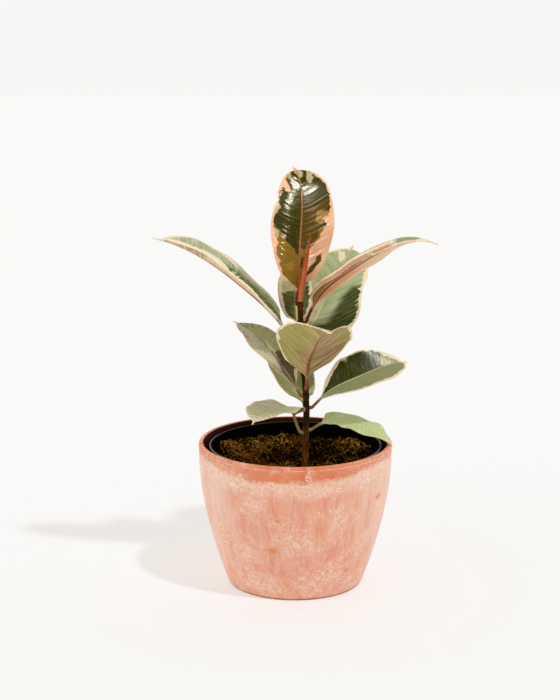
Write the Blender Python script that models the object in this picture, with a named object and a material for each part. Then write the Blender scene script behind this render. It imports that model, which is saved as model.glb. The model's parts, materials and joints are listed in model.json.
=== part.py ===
"""Potted variegated rubber plant: a young plant in a thin grow pot that stands loose in a planter.

Sizes are in millimetres and angles in degrees; the meshes are made in metres, +Z up.
The origin is the centre of the planter's foot, on the surface that it stands on.
"""

import math

import bmesh
import bpy
import numpy as np
from mathutils import Matrix

MM = 0.001
GAP = 0.3                     # clearance between pieces that touch

# planter: a tapered bowl whose side closes in towards the foot
PLANTER_RIM_R = 90.0
PLANTER_FOOT_R = 62.5
PLANTER_H = 135.0
PLANTER_WALL = 4.6
PLANTER_FLOOR = 5.0
PLANTER_BAND = 12.0           # straight band below the rim
PLANTER_BELLY = 1.75          # how early the side closes in
PLANTER_LIP = 1.6             # rounding of the rim
PLANTER_FOOT_EDGE = 1.5       # bevel round the foot
PLANTER_LEVELS = [4, 16, 34, 58, 88]    # heights of the side's rings below the band
PLANTER_SIDES = 48

# grow pot: standard thin-walled pot with a rolled rim
POT_RIM_R = 80.5
POT_RIM_Z = 132.0
POT_RIM_BAND = 6.0
POT_RIM_OVERHANG = 1.9
POT_FOOT_R = 56.0
POT_WALL = 1.3
POT_FLOOR = 1.6
POT_FOOT_EDGE = 2.0           # bevel round the foot
POT_RIM_ROUND = 0.8
POT_DRAINS = 5
POT_DRAIN_R = 4.0
POT_DRAIN_CIRCLE = 40.0
POT_DRAIN_SIDES = 12
POT_SIDES = 48

# soil and moss
SOIL_TOP = 104.0
MOSS_LOW = 109.0              # moss round the stem
MOSS_RISE = 13.0              # how much higher it stands along the pot's wall
MOSS_FRONT_DIP = 7.0
MOSS_LUMPS = 26
MOSS_LUMP_REACH = 66.0        # how far out their centres lie
MOSS_SEED = 11
FILL_GAP = 0.4                # clearance of the soil to the pot's wall and to the stem
MOSS_RINGS = 12
MOSS_SIDES = 44

# stem: centre line from the root end to the top, and its radius there
STEM_LINE = [
    (9.1, 0, 60), (9.1, 0, 111), (10.4, 0, 165), (9.5, 0, 184),
    (6.5, 0, 220), (4.6, 0, 249), (4.4, 0, 268)]
STEM_R_LOW = 3.35
STEM_R_HIGH = 2.6
STEM_NODE = 0.4               # swelling where a leaf grows
STEM_SIDES = 12
STEM_RINGS = [120, 132, 155, 196, 210]   # plain rings between the leaf nodes
HOLE_SIDES = 16

# sheath of the next leaf, on the stem's top
SHEATH_LINE = [(4.4, 0, 268.3), (6.4, -0.6, 284), (9.2, -2.6, 306), (12.4, -6.0, 332)]
SHEATH_R = [2.5, 3.1, 2.0, 0.3]
SHEATH_SIDES = 10

# leaves
BLADE_THICK = 0.8
MIDRIB_DEPTH = 1.3
PETIOLE_R = 1.35
PETIOLE_FOOT_R = 1.8
HEEL = 2.6                    # level stretch where a petiole leaves the stem
ACROSS = [0.0, 0.07, 0.4, 0.74, 1.0]   # stations from midrib to margin
PETIOLE_RINGS = 5
BLADE_RINGS = 16
SPUR = 0.05                   # share of the length that is the narrow tip
MARGIN_WAVE = 0.9
WAVES = 3
WIDEST = 0.52                 # share of the blade's length
STALK_BLEND = 0.09            # share in which the petiole turns into the blade
PATH_STEPS = 240
HEEL_RISE = 8.0

# A leaf leaves the stem at height node, towards side. Lists are stations from the blade's base to
# its tip: heading is the compass direction (0 is +X, 90 is +Y), rise the slope, roll the turn
# about its own line. Fold lifts each half; curl bends it on towards its margin, late if edge is high.
LEAVES = {
    "leaf_top": dict(
        node=264, side=130, petiole=17, lift=85, heading=[115], rise=[92, 93, 99, 86, 14], roll=[0],
        length=116, width=61, sway=[-1, -2, 0], fold_left=[24, 6, 10], fold_right=[12, 10, 13],
        curl_left=[-14], curl_right=[-14]),
    "leaf_left_long": dict(
        node=226, side=180, petiole=19, lift=56, heading=[181, 181, 165], rise=[54, 42, 38, 26, 8],
        roll=[8], length=150, width=56, fold_left=[40, 36, 32], fold_right=[28],
        curl_left=[-130, -102, -90], edge_left=[1.6, 2.5, 4]),
    "leaf_right_long": dict(
        node=248, side=-10, petiole=16, lift=72, heading=[-32, -15, -13], rise=[62, 38, 34, 19, -20],
        roll=[-18, -26, -18], length=141, width=56, fold_left=[10], fold_right=[9],
        curl_right=[-100], edge_right=[4, 3, 4]),
    "leaf_back_right": dict(
        node=235, side=40, petiole=10, lift=60, heading=[67, 60, 67], rise=[20, 44, 31, 28], roll=[4],
        length=114, width=65, fold_left=[8], fold_right=[2], curl_right=[-15]),
    "leaf_back_left": dict(
        node=241, side=120, petiole=5, lift=60, heading=[95, 100], rise=[58, 54, 44], roll=[-8],
        length=62, width=33, fold_left=[8], fold_right=[12]),
    "leaf_left_mid": dict(
        node=178, side=170, petiole=6, lift=62, heading=[170, 134, 152], rise=[60, 44, 27, 18],
        roll=[7], length=95, width=52, fold_left=[9], fold_right=[10]),
    "leaf_front": dict(
        node=186, side=-85, petiole=13, lift=70, heading=[-82, -82, -61], rise=[64, 28, 36, 11],
        roll=[-6], length=114, width=75, fold_left=[23], fold_right=[26]),
    "leaf_right_mid": dict(
        node=167, side=0, petiole=10, lift=48, heading=[-24, 29, 32], rise=[48, 20, 11, -6],
        roll=[18], length=99, width=59, fold_left=[9], fold_right=[15]),
    "leaf_back_low": dict(
        node=167, side=110, petiole=3, lift=60, heading=[119, 105, 108], rise=[41, 30, 22], roll=[6],
        length=82, width=44, fold_left=[10], fold_right=[7]),
    "leaf_low_left": dict(
        node=143, side=200, petiole=18, lift=60, heading=[225, 234, 226], rise=[75, -4, 6, -48],
        roll=[5], length=68, width=48, fold_left=[3], fold_right=[15]),
    "leaf_low_right": dict(
        node=146, side=-20, petiole=10, lift=45, heading=[20, -27, 0], rise=[20, -9, -16, -63],
        roll=[2], length=76, width=38, fold_left=[0], fold_right=[2]),
}

# colour, roughness
FINISHES = {
    "terracotta": ((0.72, 0.36, 0.25), 0.75),
    "black_plastic": ((0.02, 0.02, 0.022), 0.45),
    "soil": ((0.05, 0.03, 0.02), 0.95),
    "moss": ((0.14, 0.10, 0.03), 0.95),
    "bark": ((0.13, 0.07, 0.04), 0.7),
    "sheath": ((0.62, 0.12, 0.08), 0.4),
    "leaf": ((0.20, 0.30, 0.12), 0.35),
}


def clear_scene():
    for item in list(bpy.data.objects):
        bpy.data.objects.remove(item, do_unlink=True)


def finish(name):
    """Material of that name, made on first use."""
    found = bpy.data.materials.get(name)
    if found:
        return found
    colour, roughness = FINISHES[name]
    made = bpy.data.materials.new(name)
    made.use_nodes = True
    shader = made.node_tree.nodes["Principled BSDF"]
    shader.inputs["Base Color"].default_value = (*colour, 1.0)
    shader.inputs["Roughness"].default_value = roughness
    shader.inputs["Metallic"].default_value = 0.0
    return made


def add_object(name, points, faces, material, sharp=50):
    """Mesh object from points in millimetres."""
    mesh = bpy.data.meshes.new(name)
    mesh.from_pydata([tuple(float(c) * MM for c in p) for p in points], [], faces)
    work = bmesh.new()
    work.from_mesh(mesh)
    bmesh.ops.recalc_face_normals(work, faces=work.faces)
    work.to_mesh(mesh)
    work.free()
    mesh.shade_smooth()
    mesh.set_sharp_from_angle(angle=math.radians(sharp))
    mesh.materials.append(finish(material))
    made = bpy.data.objects.new(name, mesh)
    bpy.context.collection.objects.link(made)
    return made


def cut(target, cutters, solver="EXACT"):
    """Takes the cutters out of the target and removes them."""
    for cutter in cutters:
        tool = target.modifiers.new("cut", "BOOLEAN")
        tool.operation = "DIFFERENCE"
        tool.solver = solver
        tool.object = cutter
    graph = bpy.context.evaluated_depsgraph_get()
    mesh = bpy.data.meshes.new_from_object(target.evaluated_get(graph))
    target.modifiers.clear()
    target.data = mesh
    for cutter in cutters:
        bpy.data.objects.remove(cutter, do_unlink=True)


def turned(name, profile, sides, material):
    """Solid of revolution; the profile starts and ends on the axis."""
    points = []
    rings = []
    for radius, height in profile:
        first = len(points)
        if radius == 0:
            points.append((0, 0, height))
            rings.append([first] * sides)
            continue
        for k in range(sides):
            turn = 2 * math.pi * k / sides
            points.append((radius * math.cos(turn), radius * math.sin(turn), height))
        rings.append(list(range(first, first + sides)))
    faces = []
    for low, high in zip(rings, rings[1:]):
        for k in range(sides):
            following = (k + 1) % sides
            corners = [low[k], low[following], high[following], high[k]]
            faces.append(list(dict.fromkeys(corners)))
    return add_object(name, points, faces, material)


def rod(name, x, y, low, high, radius, sides, material="soil"):
    """Upright round bar."""
    made = turned(name, [(0, low), (radius, low), (radius, high), (0, high)], sides, material)
    made.data.transform(Matrix.Translation((x * MM, y * MM, 0)))
    return made


def rounded(centre_r, centre_z, radius, start, end, steps):
    """Points along a profile's rounded corner."""
    turns = [math.radians(start + (end - start) * k / steps) for k in range(steps + 1)]
    return [(centre_r + radius * math.cos(a), centre_z + radius * math.sin(a)) for a in turns]


def planter_radius(z):
    """Outer radius of the planter's side."""
    height = PLANTER_H - PLANTER_BAND
    share = max(0.0, 1 - z / height)
    return PLANTER_RIM_R - (PLANTER_RIM_R - PLANTER_FOOT_R) * share ** PLANTER_BELLY


def planter():
    levels = PLANTER_LEVELS + [PLANTER_H - PLANTER_BAND]
    side = [(planter_radius(z), z) for z in levels]
    inner_levels = [h for h in reversed(levels) if h > 2 * PLANTER_FLOOR]
    inside = [(planter_radius(z) - PLANTER_WALL, z) for z in inner_levels]
    foot = PLANTER_FOOT_R - PLANTER_FOOT_EDGE
    lip = PLANTER_LIP
    top = PLANTER_H - lip
    rim_in = PLANTER_RIM_R - PLANTER_WALL
    profile = [(0, 0), (foot, 0), (PLANTER_FOOT_R + 0.3 * PLANTER_FOOT_EDGE, PLANTER_FOOT_EDGE)] + side
    profile += rounded(PLANTER_RIM_R - lip, top, lip, 0, 90, 2)
    profile += rounded(rim_in + lip, top, lip, 90, 180, 2)
    profile += inside
    profile += [(foot - PLANTER_WALL, PLANTER_FLOOR), (0, PLANTER_FLOOR)]
    return turned("planter", profile, PLANTER_SIDES, "terracotta")


def pot_radius(z):
    """Outer radius of the grow pot's side."""
    low = PLANTER_FLOOR + GAP
    high = POT_RIM_Z - POT_RIM_BAND
    side_top = POT_RIM_R - POT_RIM_OVERHANG
    return POT_FOOT_R + (side_top - POT_FOOT_R) * (z - low) / (high - low)


def nursery_pot():
    low = PLANTER_FLOOR + GAP
    band_low = POT_RIM_Z - POT_RIM_BAND
    inner_top = pot_radius(band_low) - POT_WALL
    floor = low + POT_FLOOR
    profile = [(0, low), (POT_FOOT_R - POT_FOOT_EDGE, low), (POT_FOOT_R, low + POT_FOOT_EDGE)]
    profile += [(pot_radius(band_low), band_low), (POT_RIM_R, band_low)]
    turn = POT_RIM_ROUND
    profile += rounded(POT_RIM_R - turn, POT_RIM_Z - turn, turn, 0, 90, 2)
    profile += [(inner_top + turn, POT_RIM_Z), (inner_top, POT_RIM_Z - 2 * turn), (inner_top, band_low)]
    profile += [(pot_radius(floor) - POT_WALL, floor), (0, floor)]
    made = turned("nursery_pot", profile, POT_SIDES, "black_plastic")
    drains = []
    for k in range(POT_DRAINS):
        turn = 2 * math.pi * k / POT_DRAINS
        x = POT_DRAIN_CIRCLE * math.cos(turn)
        y = POT_DRAIN_CIRCLE * math.sin(turn)
        drains.append(rod("drain", x, y, low - 2, floor + 2, POT_DRAIN_R, POT_DRAIN_SIDES))
    cut(made, drains, "MANIFOLD")
    return made


def stem_hole(low, high):
    """Cutter for the plain hole that the stem stands in."""
    x, y = STEM_LINE[0][0], STEM_LINE[0][1]
    return rod("hole", x, y, low, high, STEM_R_LOW + FILL_GAP, HOLE_SIDES)


def potting_mix():
    floor = PLANTER_FLOOR + GAP + POT_FLOOR + GAP
    low_r = pot_radius(floor) - POT_WALL - FILL_GAP
    high_r = pot_radius(SOIL_TOP) - POT_WALL - FILL_GAP
    profile = [(0, floor), (low_r, floor), (high_r, SOIL_TOP), (0, SOIL_TOP)]
    made = turned("potting_mix", profile, POT_SIDES, "soil")
    cut(made, [stem_hole(STEM_LINE[0][2] - GAP, SOIL_TOP + GAP)])
    return made


def moss_height(x, y, lumps):
    """Height of the moss: low at the stem, banked up along the pot's wall, and lumpy."""
    reach = pot_radius(SOIL_TOP)
    from_stem = math.hypot(x - STEM_LINE[0][0], y - STEM_LINE[0][1]) / reach
    bank = MOSS_RISE * min(1.0, from_stem) ** 1.2
    front = MOSS_FRONT_DIP * max(0.0, -y / reach)
    lump = 0
    for lump_x, lump_y, spread, height in lumps:
        away = (x - lump_x) ** 2 + (y - lump_y) ** 2
        lump += height * math.exp(-away / (2 * spread ** 2))
    return MOSS_LOW + bank - front + lump


def moss_lumps():
    """Centre, spread and height of each lump."""
    rng = np.random.default_rng(MOSS_SEED)
    lumps = []
    for _ in range(MOSS_LUMPS):
        turn = rng.uniform(0, 2 * math.pi)
        radius = MOSS_LUMP_REACH * math.sqrt(rng.uniform(0.1, 1))
        spread = rng.uniform(5, 9)
        height = rng.uniform(-2, 4)
        lumps.append((radius * math.cos(turn), radius * math.sin(turn), spread, height))
    return lumps


def moss_top():
    low = SOIL_TOP + GAP
    edge = pot_radius(SOIL_TOP) - POT_WALL - FILL_GAP - 0.1
    lumps = moss_lumps()
    points = [(0, 0, low), (0, 0, moss_height(0, 0, lumps))]
    bottom = []
    for k in range(MOSS_SIDES):
        turn = 2 * math.pi * k / MOSS_SIDES
        bottom.append(len(points))
        points.append((edge * math.cos(turn), edge * math.sin(turn), low))
    rings = []
    for ring in range(1, MOSS_RINGS + 1):
        radius = edge * ring / MOSS_RINGS
        rings.append([])
        for k in range(MOSS_SIDES):
            turn = 2 * math.pi * k / MOSS_SIDES
            x, y = radius * math.cos(turn), radius * math.sin(turn)
            rings[-1].append(len(points))
            points.append((x, y, moss_height(x, y, lumps)))
    faces = []
    for k in range(MOSS_SIDES):
        following = (k + 1) % MOSS_SIDES
        faces.append((0, bottom[following], bottom[k]))
        faces.append((1, rings[0][k], rings[0][following]))
        faces.append((bottom[k], bottom[following], rings[-1][following], rings[-1][k]))
        for inner, outer in zip(rings, rings[1:]):
            faces.append((inner[k], outer[k], outer[following]))
            faces.append((inner[k], outer[following], inner[following]))
    made = add_object("moss_top", points, faces, "moss")
    cut(made, [stem_hole(low - GAP, low + 2 * MOSS_RISE)])
    return made


def along(line, heights):
    """Points of a line of control points at given heights."""
    table = np.array(line, float)
    columns = [np.interp(heights, table[:, 2], table[:, k]) for k in range(2)]
    return np.stack([*columns, np.asarray(heights, float)], -1)


def stem_radius(z):
    low, high = STEM_LINE[0][2], STEM_LINE[-1][2]
    share = (z - low) / (high - low)
    return STEM_R_LOW + (STEM_R_HIGH - STEM_R_LOW) * share


def tube(name, centres, radii, sides, material):
    """Upright tube through level rings."""
    points = []
    for (x, y, z), radius in zip(centres, radii):
        for k in range(sides):
            turn = 2 * math.pi * k / sides
            points.append((x + radius * math.cos(turn), y + radius * math.sin(turn), z))
    faces = [tuple(reversed(range(sides))), tuple(range(len(points) - sides, len(points)))]
    for ring in range(len(radii) - 1):
        for k in range(sides):
            a = ring * sides + k
            b = ring * sides + (k + 1) % sides
            faces.append((a, b, b + sides, a + sides))
    return add_object(name, points, faces, material)


def stem():
    nodes = {leaf["node"] for leaf in LEAVES.values()}
    low, high = STEM_LINE[0][2], STEM_LINE[-1][2]
    heights = sorted(nodes | {low, low + 4, SOIL_TOP, high} | set(STEM_RINGS))
    radii = [stem_radius(z) + (STEM_NODE if z in nodes else 0) for z in heights]
    radii[0] = STEM_R_LOW * 0.5
    return tube("stem", along(STEM_LINE, heights), radii, STEM_SIDES, "bark")


def bud_sheath():
    return tube("bud_sheath", SHEATH_LINE, SHEATH_R, SHEATH_SIDES, "sheath")


def eased(values, t):
    """Smooth values at t (0 to 1) between equally spaced stations."""
    values = np.asarray(values, float)
    if len(values) == 1:
        return np.full(len(t), values[0])
    places = np.linspace(0, 1, len(values))
    slope = np.gradient(values, places)
    k = np.clip(np.searchsorted(places, t, side="right") - 1, 0, len(values) - 2)
    step = places[1]
    s = (t - places[k]) / step
    rest = (2 * s ** 3 - 3 * s ** 2 + 1) * values[k] + (s ** 3 - 2 * s ** 2 + s) * step * slope[k]
    return rest + (3 * s ** 2 - 2 * s ** 3) * values[k + 1] + (s ** 3 - s ** 2) * step * slope[k + 1]


def directions(heading, rise, roll):
    """Unit vectors along a leaf, to its left and out of its upper side."""
    a, e, r = np.radians(heading), np.radians(rise), np.radians(roll)
    forward = np.stack([np.cos(e) * np.cos(a), np.cos(e) * np.sin(a), np.sin(e)], -1)
    level = np.stack([-np.sin(a), np.cos(a), np.zeros(len(a))], -1)
    out = np.stack([-np.sin(e) * np.cos(a), -np.sin(e) * np.sin(a), np.cos(e)], -1)
    cos_r, sin_r = np.cos(r)[:, None], np.sin(r)[:, None]
    return forward, level * cos_r + out * sin_r, out * cos_r - level * sin_r


def half_width(t):
    """Half of the blade's width, as a share: widest near the middle, blunt, with a narrow spur."""
    blade = t / (1 - SPUR)
    below = np.clip((WIDEST - blade) / WIDEST, 0, 1)
    above = np.clip((blade - WIDEST) / (1 - WIDEST), 0, 1)
    low = np.clip(1 - below ** 2.15, 0, 1) ** 0.475
    high = np.clip(1 - above ** 2.3, 0, 1) ** 0.62
    spur = 0.05 * (1 - t) / SPUR + 0.012
    return np.maximum(np.where(blade < WIDEST, low, high), np.where(blade > WIDEST, spur, 0))


def walk(start, heading, rise, length):
    """Path of equal steps along the given directions."""
    forward = directions(heading, rise, np.zeros(len(heading)))[0]
    return start + np.vstack([np.zeros(3), np.cumsum(forward, 0)]) * length / len(heading)


def resample(path, t):
    places = np.linspace(0, 1, len(path))
    return np.stack([np.interp(t, places, path[:, k]) for k in range(3)], -1)


def petiole_path(leaf):
    """Petiole's centre line with its directions: level at the stem, then bending up."""
    base = along(STEM_LINE, [leaf["node"]])[0]
    side = math.radians(leaf["side"])
    reach = stem_radius(leaf["node"]) + STEM_NODE + GAP
    root = base + reach * np.array([math.cos(side), math.sin(side), 0])
    steps = (np.arange(PATH_STEPS) + 0.5) / PATH_STEPS
    total = leaf["petiole"] + HEEL
    bend = np.clip(steps * total / HEEL, 0, 1)
    turn = leaf["heading"][0] - leaf["side"]
    heading = leaf["side"] + turn * steps
    climb = leaf["lift"] + (leaf["rise"][0] - leaf["lift"]) * steps
    rise = HEEL_RISE + (climb - HEEL_RISE) * bend ** 1.5
    return walk(root, heading, rise, total), heading, rise


def round_section():
    """Directions round a petiole, in the order of a blade's outline: across the top, then back."""
    count = 2 * len(ACROSS) - 1
    top = np.radians(10 + 160 * np.arange(count) / (count - 1))
    turns = np.concatenate([top, top + math.pi])
    return np.cos(turns), np.sin(turns)


def blade_section(leaf, t, width):
    """Sideways and upward offsets of both faces of the blade at every station."""
    half = half_width(t) * width / 2
    fine = 12
    faces = {1: [], -1: []}
    for sign, hand in ((1, "left"), (-1, "right")):
        fold = np.radians(eased(leaf["fold_" + hand], t))
        curl = np.radians(eased(leaf.get("curl_" + hand, [0]), t))
        power = eased(leaf.get("edge_" + hand, [2]), t)
        wave = MARGIN_WAVE * np.sin(2 * math.pi * (WAVES * t + 0.2 * sign)) * np.sin(math.pi * t)
        side, up = np.zeros(len(t)), np.zeros(len(t))
        before = 0.0
        for u in ACROSS:
            for step in range(fine):
                lean = fold + curl * (before + (u - before) * (step + 0.5) / fine) ** power
                side = side + np.cos(lean) * half * (u - before) / fine
                up = up + np.sin(lean) * half * (u - before) / fine
            before = u
            lean = fold + curl * u ** power
            thick = BLADE_THICK / 2
            ridge = MIDRIB_DEPTH * (1 - 0.75 * t) * {0.0: 1.0, ACROSS[1]: 0.35}.get(u, 0.0)
            lift = up + wave * u ** 2
            top = (sign * (side - thick * np.sin(lean)), lift + thick * np.cos(lean))
            low = thick + ridge
            under = (sign * (side + low * np.sin(lean)), lift - low * np.cos(lean))
            faces[sign].append((top, under))
    left = list(reversed(faces[1]))
    right = faces[-1][1:]
    order = [pair[0] for pair in left + right] + [pair[1] for pair in reversed(left + right)]
    middle = len(ACROSS) - 1
    for place in (middle, len(order) - 1 - middle):
        order[place] = (np.zeros(len(t)), order[place][1])
    return np.stack([o[0] for o in order], -1), np.stack([o[1] for o in order], -1)


def leaf_rings(leaf):
    """All rings of a leaf, from the petiole's foot to the blade's tip."""
    path, heading, rise = petiole_path(leaf)
    places = np.linspace(0, 1, PETIOLE_RINGS + 1)[:-1]
    centre = resample(path, places)
    turns = np.interp(places, np.linspace(0, 1, len(heading)), heading)
    slopes = np.interp(places, np.linspace(0, 1, len(rise)), rise)
    _, left, out = directions(turns, slopes, leaf["roll"][0] * places)
    cos_k, sin_k = round_section()
    radius = PETIOLE_R + (PETIOLE_FOOT_R - PETIOLE_R) * np.clip(1 - places * 2, 0, 1) ** 2
    spoke = cos_k[:, None] * left[:, None] + sin_k[:, None] * out[:, None]
    stalk = centre[:, None] + radius[:, None, None] * spoke

    steps = (np.arange(PATH_STEPS) + 0.5) / PATH_STEPS
    path = walk(path[-1], eased(leaf["heading"], steps), eased(leaf["rise"], steps), leaf["length"])
    even = np.linspace(0, 1, BLADE_RINGS)
    t = 0.45 * even + 0.55 * (0.5 - 0.5 * np.cos(math.pi * even))
    _, left, out = directions(eased(leaf["heading"], t), eased(leaf["rise"], t), eased(leaf["roll"], t))
    centre = resample(path, t) + left * eased(leaf.get("sway", [0]), t)[:, None]
    side, up = blade_section(leaf, t, leaf["width"])
    blend = np.clip(t / STALK_BLEND, 0, 1)[:, None]
    side = side * blend + PETIOLE_R * cos_k * (1 - blend)
    up = up * blend + PETIOLE_R * sin_k * (1 - blend)
    blade = centre[:, None] + side[..., None] * left[:, None] + up[..., None] * out[:, None]
    return np.concatenate([stalk, blade])


def leaf(name, spec):
    rings = leaf_rings(spec)
    count = rings.shape[1]
    points = rings.reshape(-1, 3)
    half = count // 2
    faces = [tuple(range(count)), tuple(range(len(points) - count, len(points)))]
    for ring in range(len(rings) - 1):
        for k in range(count):
            a, b = ring * count + k, ring * count + (k + 1) % count
            # both faces of the blade are split along the same diagonal
            if k < half:
                faces += [(a, b, b + count), (a, b + count, a + count)]
            else:
                faces += [(a, b, a + count), (b, b + count, a + count)]
    return add_object(name, points, faces, "leaf")


def main():
    clear_scene()
    planter()
    nursery_pot()
    potting_mix()
    moss_top()
    stem()
    bud_sheath()
    for name, spec in LEAVES.items():
        leaf(name, spec)


main()
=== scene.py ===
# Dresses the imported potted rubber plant: planter, grow pot, soil, moss, stem, bud sheath and eleven leaves,
# then the floor, the studio light and the camera. Lengths are in millimetres and angles in degrees.
import json
import math
from functools import partial

import bmesh
import bpy
import numpy as np
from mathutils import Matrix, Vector, noise

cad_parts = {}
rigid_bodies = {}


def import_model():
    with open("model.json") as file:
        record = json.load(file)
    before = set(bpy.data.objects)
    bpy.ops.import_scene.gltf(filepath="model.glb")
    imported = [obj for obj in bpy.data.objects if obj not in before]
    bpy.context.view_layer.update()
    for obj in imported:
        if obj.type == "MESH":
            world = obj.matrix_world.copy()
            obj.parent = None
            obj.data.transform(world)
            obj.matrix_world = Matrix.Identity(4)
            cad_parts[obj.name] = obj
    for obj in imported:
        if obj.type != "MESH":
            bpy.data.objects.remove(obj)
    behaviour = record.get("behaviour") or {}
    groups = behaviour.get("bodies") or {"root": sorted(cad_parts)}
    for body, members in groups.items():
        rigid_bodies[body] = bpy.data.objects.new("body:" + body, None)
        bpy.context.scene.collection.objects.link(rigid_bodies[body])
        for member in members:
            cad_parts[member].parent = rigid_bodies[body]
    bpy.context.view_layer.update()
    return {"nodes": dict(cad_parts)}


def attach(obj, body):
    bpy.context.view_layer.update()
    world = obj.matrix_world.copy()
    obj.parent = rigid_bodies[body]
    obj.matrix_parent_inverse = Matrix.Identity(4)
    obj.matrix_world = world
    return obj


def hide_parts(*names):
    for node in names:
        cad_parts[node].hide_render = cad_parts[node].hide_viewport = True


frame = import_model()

mm = 0.001
fullTurn = 2 * math.pi
body = "root"
making = {}  # the node tree that the shader helpers add to


def tint(red, green, blue):
    # display values, 0 to 255, to the linear colour that a shader takes
    parts = [c / 255 for c in (red, green, blue)]
    return tuple(c / 12.92 if c <= 0.04045 else ((c + 0.055) / 1.055) ** 2.4 for c in parts) + (1.0,)


# Shader building

def newFinish(name, roughness, specular, tone=(1, 1, 1, 1)):
    finish = bpy.data.materials.new(name)
    finish.use_nodes = True
    making["tree"] = finish.node_tree
    sockets = finish.node_tree.nodes["Principled BSDF"].inputs
    sockets["Roughness"].default_value = roughness
    sockets["Specular IOR Level"].default_value = specular
    sockets["Specular Tint"].default_value = tone
    return finish


def put(kind, inputs, out=0, **settings):
    # adds a node, sets or links its inputs, and gives one of its outputs
    tree = making["tree"]
    made = tree.nodes.new("ShaderNode" + kind)
    for key, value in settings.items():
        setattr(made, key, value)
    for key, value in inputs.items():
        if isinstance(value, bpy.types.NodeSocket):
            tree.links.new(value, made.inputs[key])
        else:
            made.inputs[key].default_value = value
    return made.outputs[out]


def calc(kind, first, *others):
    # one Math node, or a chain of them for more than two values
    for value in others or (0.0,):
        first = put("Math", {0: first, 1: value}, operation=kind)
    return first


add, take, times, most = (partial(calc, kind) for kind in ("ADD", "SUBTRACT", "MULTIPLY", "MAXIMUM"))
size, sine = partial(calc, "ABSOLUTE"), partial(calc, "SINE")


def shifted(value, low, share):
    return times(take(value, low), share)


def ramp(value, low, high, toLow=0.0, toHigh=1.0):
    return put("MapRange", {0: value, 1: low, 2: high, 3: toLow, 4: toHigh}, interpolation_type="SMOOTHSTEP")


def layers(colour, *coats):
    # lays each coat's tone over the colour below it, by the coat's share
    for share, tone in coats:
        colour = put("Mix", {0: share, 6: colour, 7: tone}, out=2, data_type="RGBA")
    return colour


def field(name):
    return put("Attribute", {}, out=2, attribute_name=name)


def vector(kind, first, second, out=0):
    return put("VectorMath", {0: first, 1: second}, out=out, operation=kind)


def place(x=0.0, y=0.0, z=0.0):
    return put("CombineXYZ", {0: x, 1: y, 2: z})


def split(at):
    return put("SeparateXYZ", {0: at}).node.outputs


def fromAxis(x, y):
    return calc("SQRT", add(times(x, x), times(y, y)))


def cloud(at, scale=1.0, detail=2.0, rough=0.5, bend=0.0):
    inputs = {"Vector": at, "Scale": scale, "Detail": detail, "Roughness": rough, "Distortion": bend}
    return put("TexNoise", inputs)


def tallCloud(at, squeeze, *settings):
    # a cloud drawn out upwards
    return cloud(vector("MULTIPLY", at, (1.0, 1.0, squeeze)), *settings)


def millimetres():
    # the piece's own coordinates, in millimetres
    return vector("MULTIPLY", put("TexCoord", {}, out=3), (1 / mm, 1 / mm, 1 / mm))


def dress(finish, colour, height=None, depth=0.0, strength=1.0, rough=None):
    # links the colour, the relief and the roughness to the finish
    bump = height and put("Bump", {"Height": height, "Distance": depth * mm, "Strength": strength})
    sockets = finish.node_tree.nodes["Principled BSDF"].inputs
    for name, value in (("Base Color", colour), ("Roughness", rough), ("Normal", bump)):
        if value:
            finish.node_tree.links.new(value, sockets[name])
    return finish


# Mesh building

def addObject(name, data):
    made = bpy.data.objects.new(name, data)
    bpy.context.collection.objects.link(made)
    return made


def newPiece(name, points, faces, finishes, nodes, marks=None, sides=None, sharp=60):
    mesh = bpy.data.meshes.new(name)
    mesh.from_pydata([tuple(p) for p in np.asarray(points) * mm], [], faces)
    for finish in finishes:
        mesh.materials.append(finish)
    if sides is not None:
        mesh.polygons.foreach_set("material_index", sides)
    work = bmesh.new()
    work.from_mesh(mesh)
    bmesh.ops.recalc_face_normals(work, faces=work.faces)
    work.to_mesh(mesh)
    work.free()
    for key, values in (marks or {}).items():
        column = mesh.attributes.new(key, "FLOAT", "POINT").data
        column.foreach_set("value", np.asarray(values, float).ravel())
    mesh.shade_smooth()
    mesh.set_sharp_from_angle(angle=math.radians(sharp))
    piece = addObject(name, mesh)
    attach(piece, body)
    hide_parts(*nodes)


def lathe(profile, count):
    # points and faces of a closed turned shape; the profile starts and ends on the axis
    points, rings, faces = [], [], []
    for radius, height in profile:
        first = len(points)
        if radius == 0:
            points.append((0, 0, height))
            rings.append([first] * count)
            continue
        turn = np.arange(count) * fullTurn / count
        points += [(radius * math.cos(a), radius * math.sin(a), height) for a in turn]
        rings.append(list(range(first, first + count)))
    for low, high in zip(rings, rings[1:]):
        for k in range(count):
            n = (k + 1) % count
            faces.append(list(dict.fromkeys([low[k], low[n], high[n], high[k]])))
    return points, faces


def corner(middleR, middleZ, radius, start, end, steps):
    # a rounded corner of a profile
    turns = np.radians(np.linspace(start, end, steps + 1))
    return [(middleR + radius * math.cos(a), middleZ + radius * math.sin(a)) for a in turns]


def tubeFaces(rings, count):
    # the two ends of a tube, then its wall, ring by ring
    last = (rings - 1) * count
    faces = [tuple(range(count)), tuple(range(last, last + count))]
    for first in range(0, last, count):
        for k in range(count):
            a, b = first + k, first + (k + 1) % count
            faces.append((a, b, b + count, a + count))
    return faces


# Planter: tapered terracotta with a pale bloom below a bare band

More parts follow.
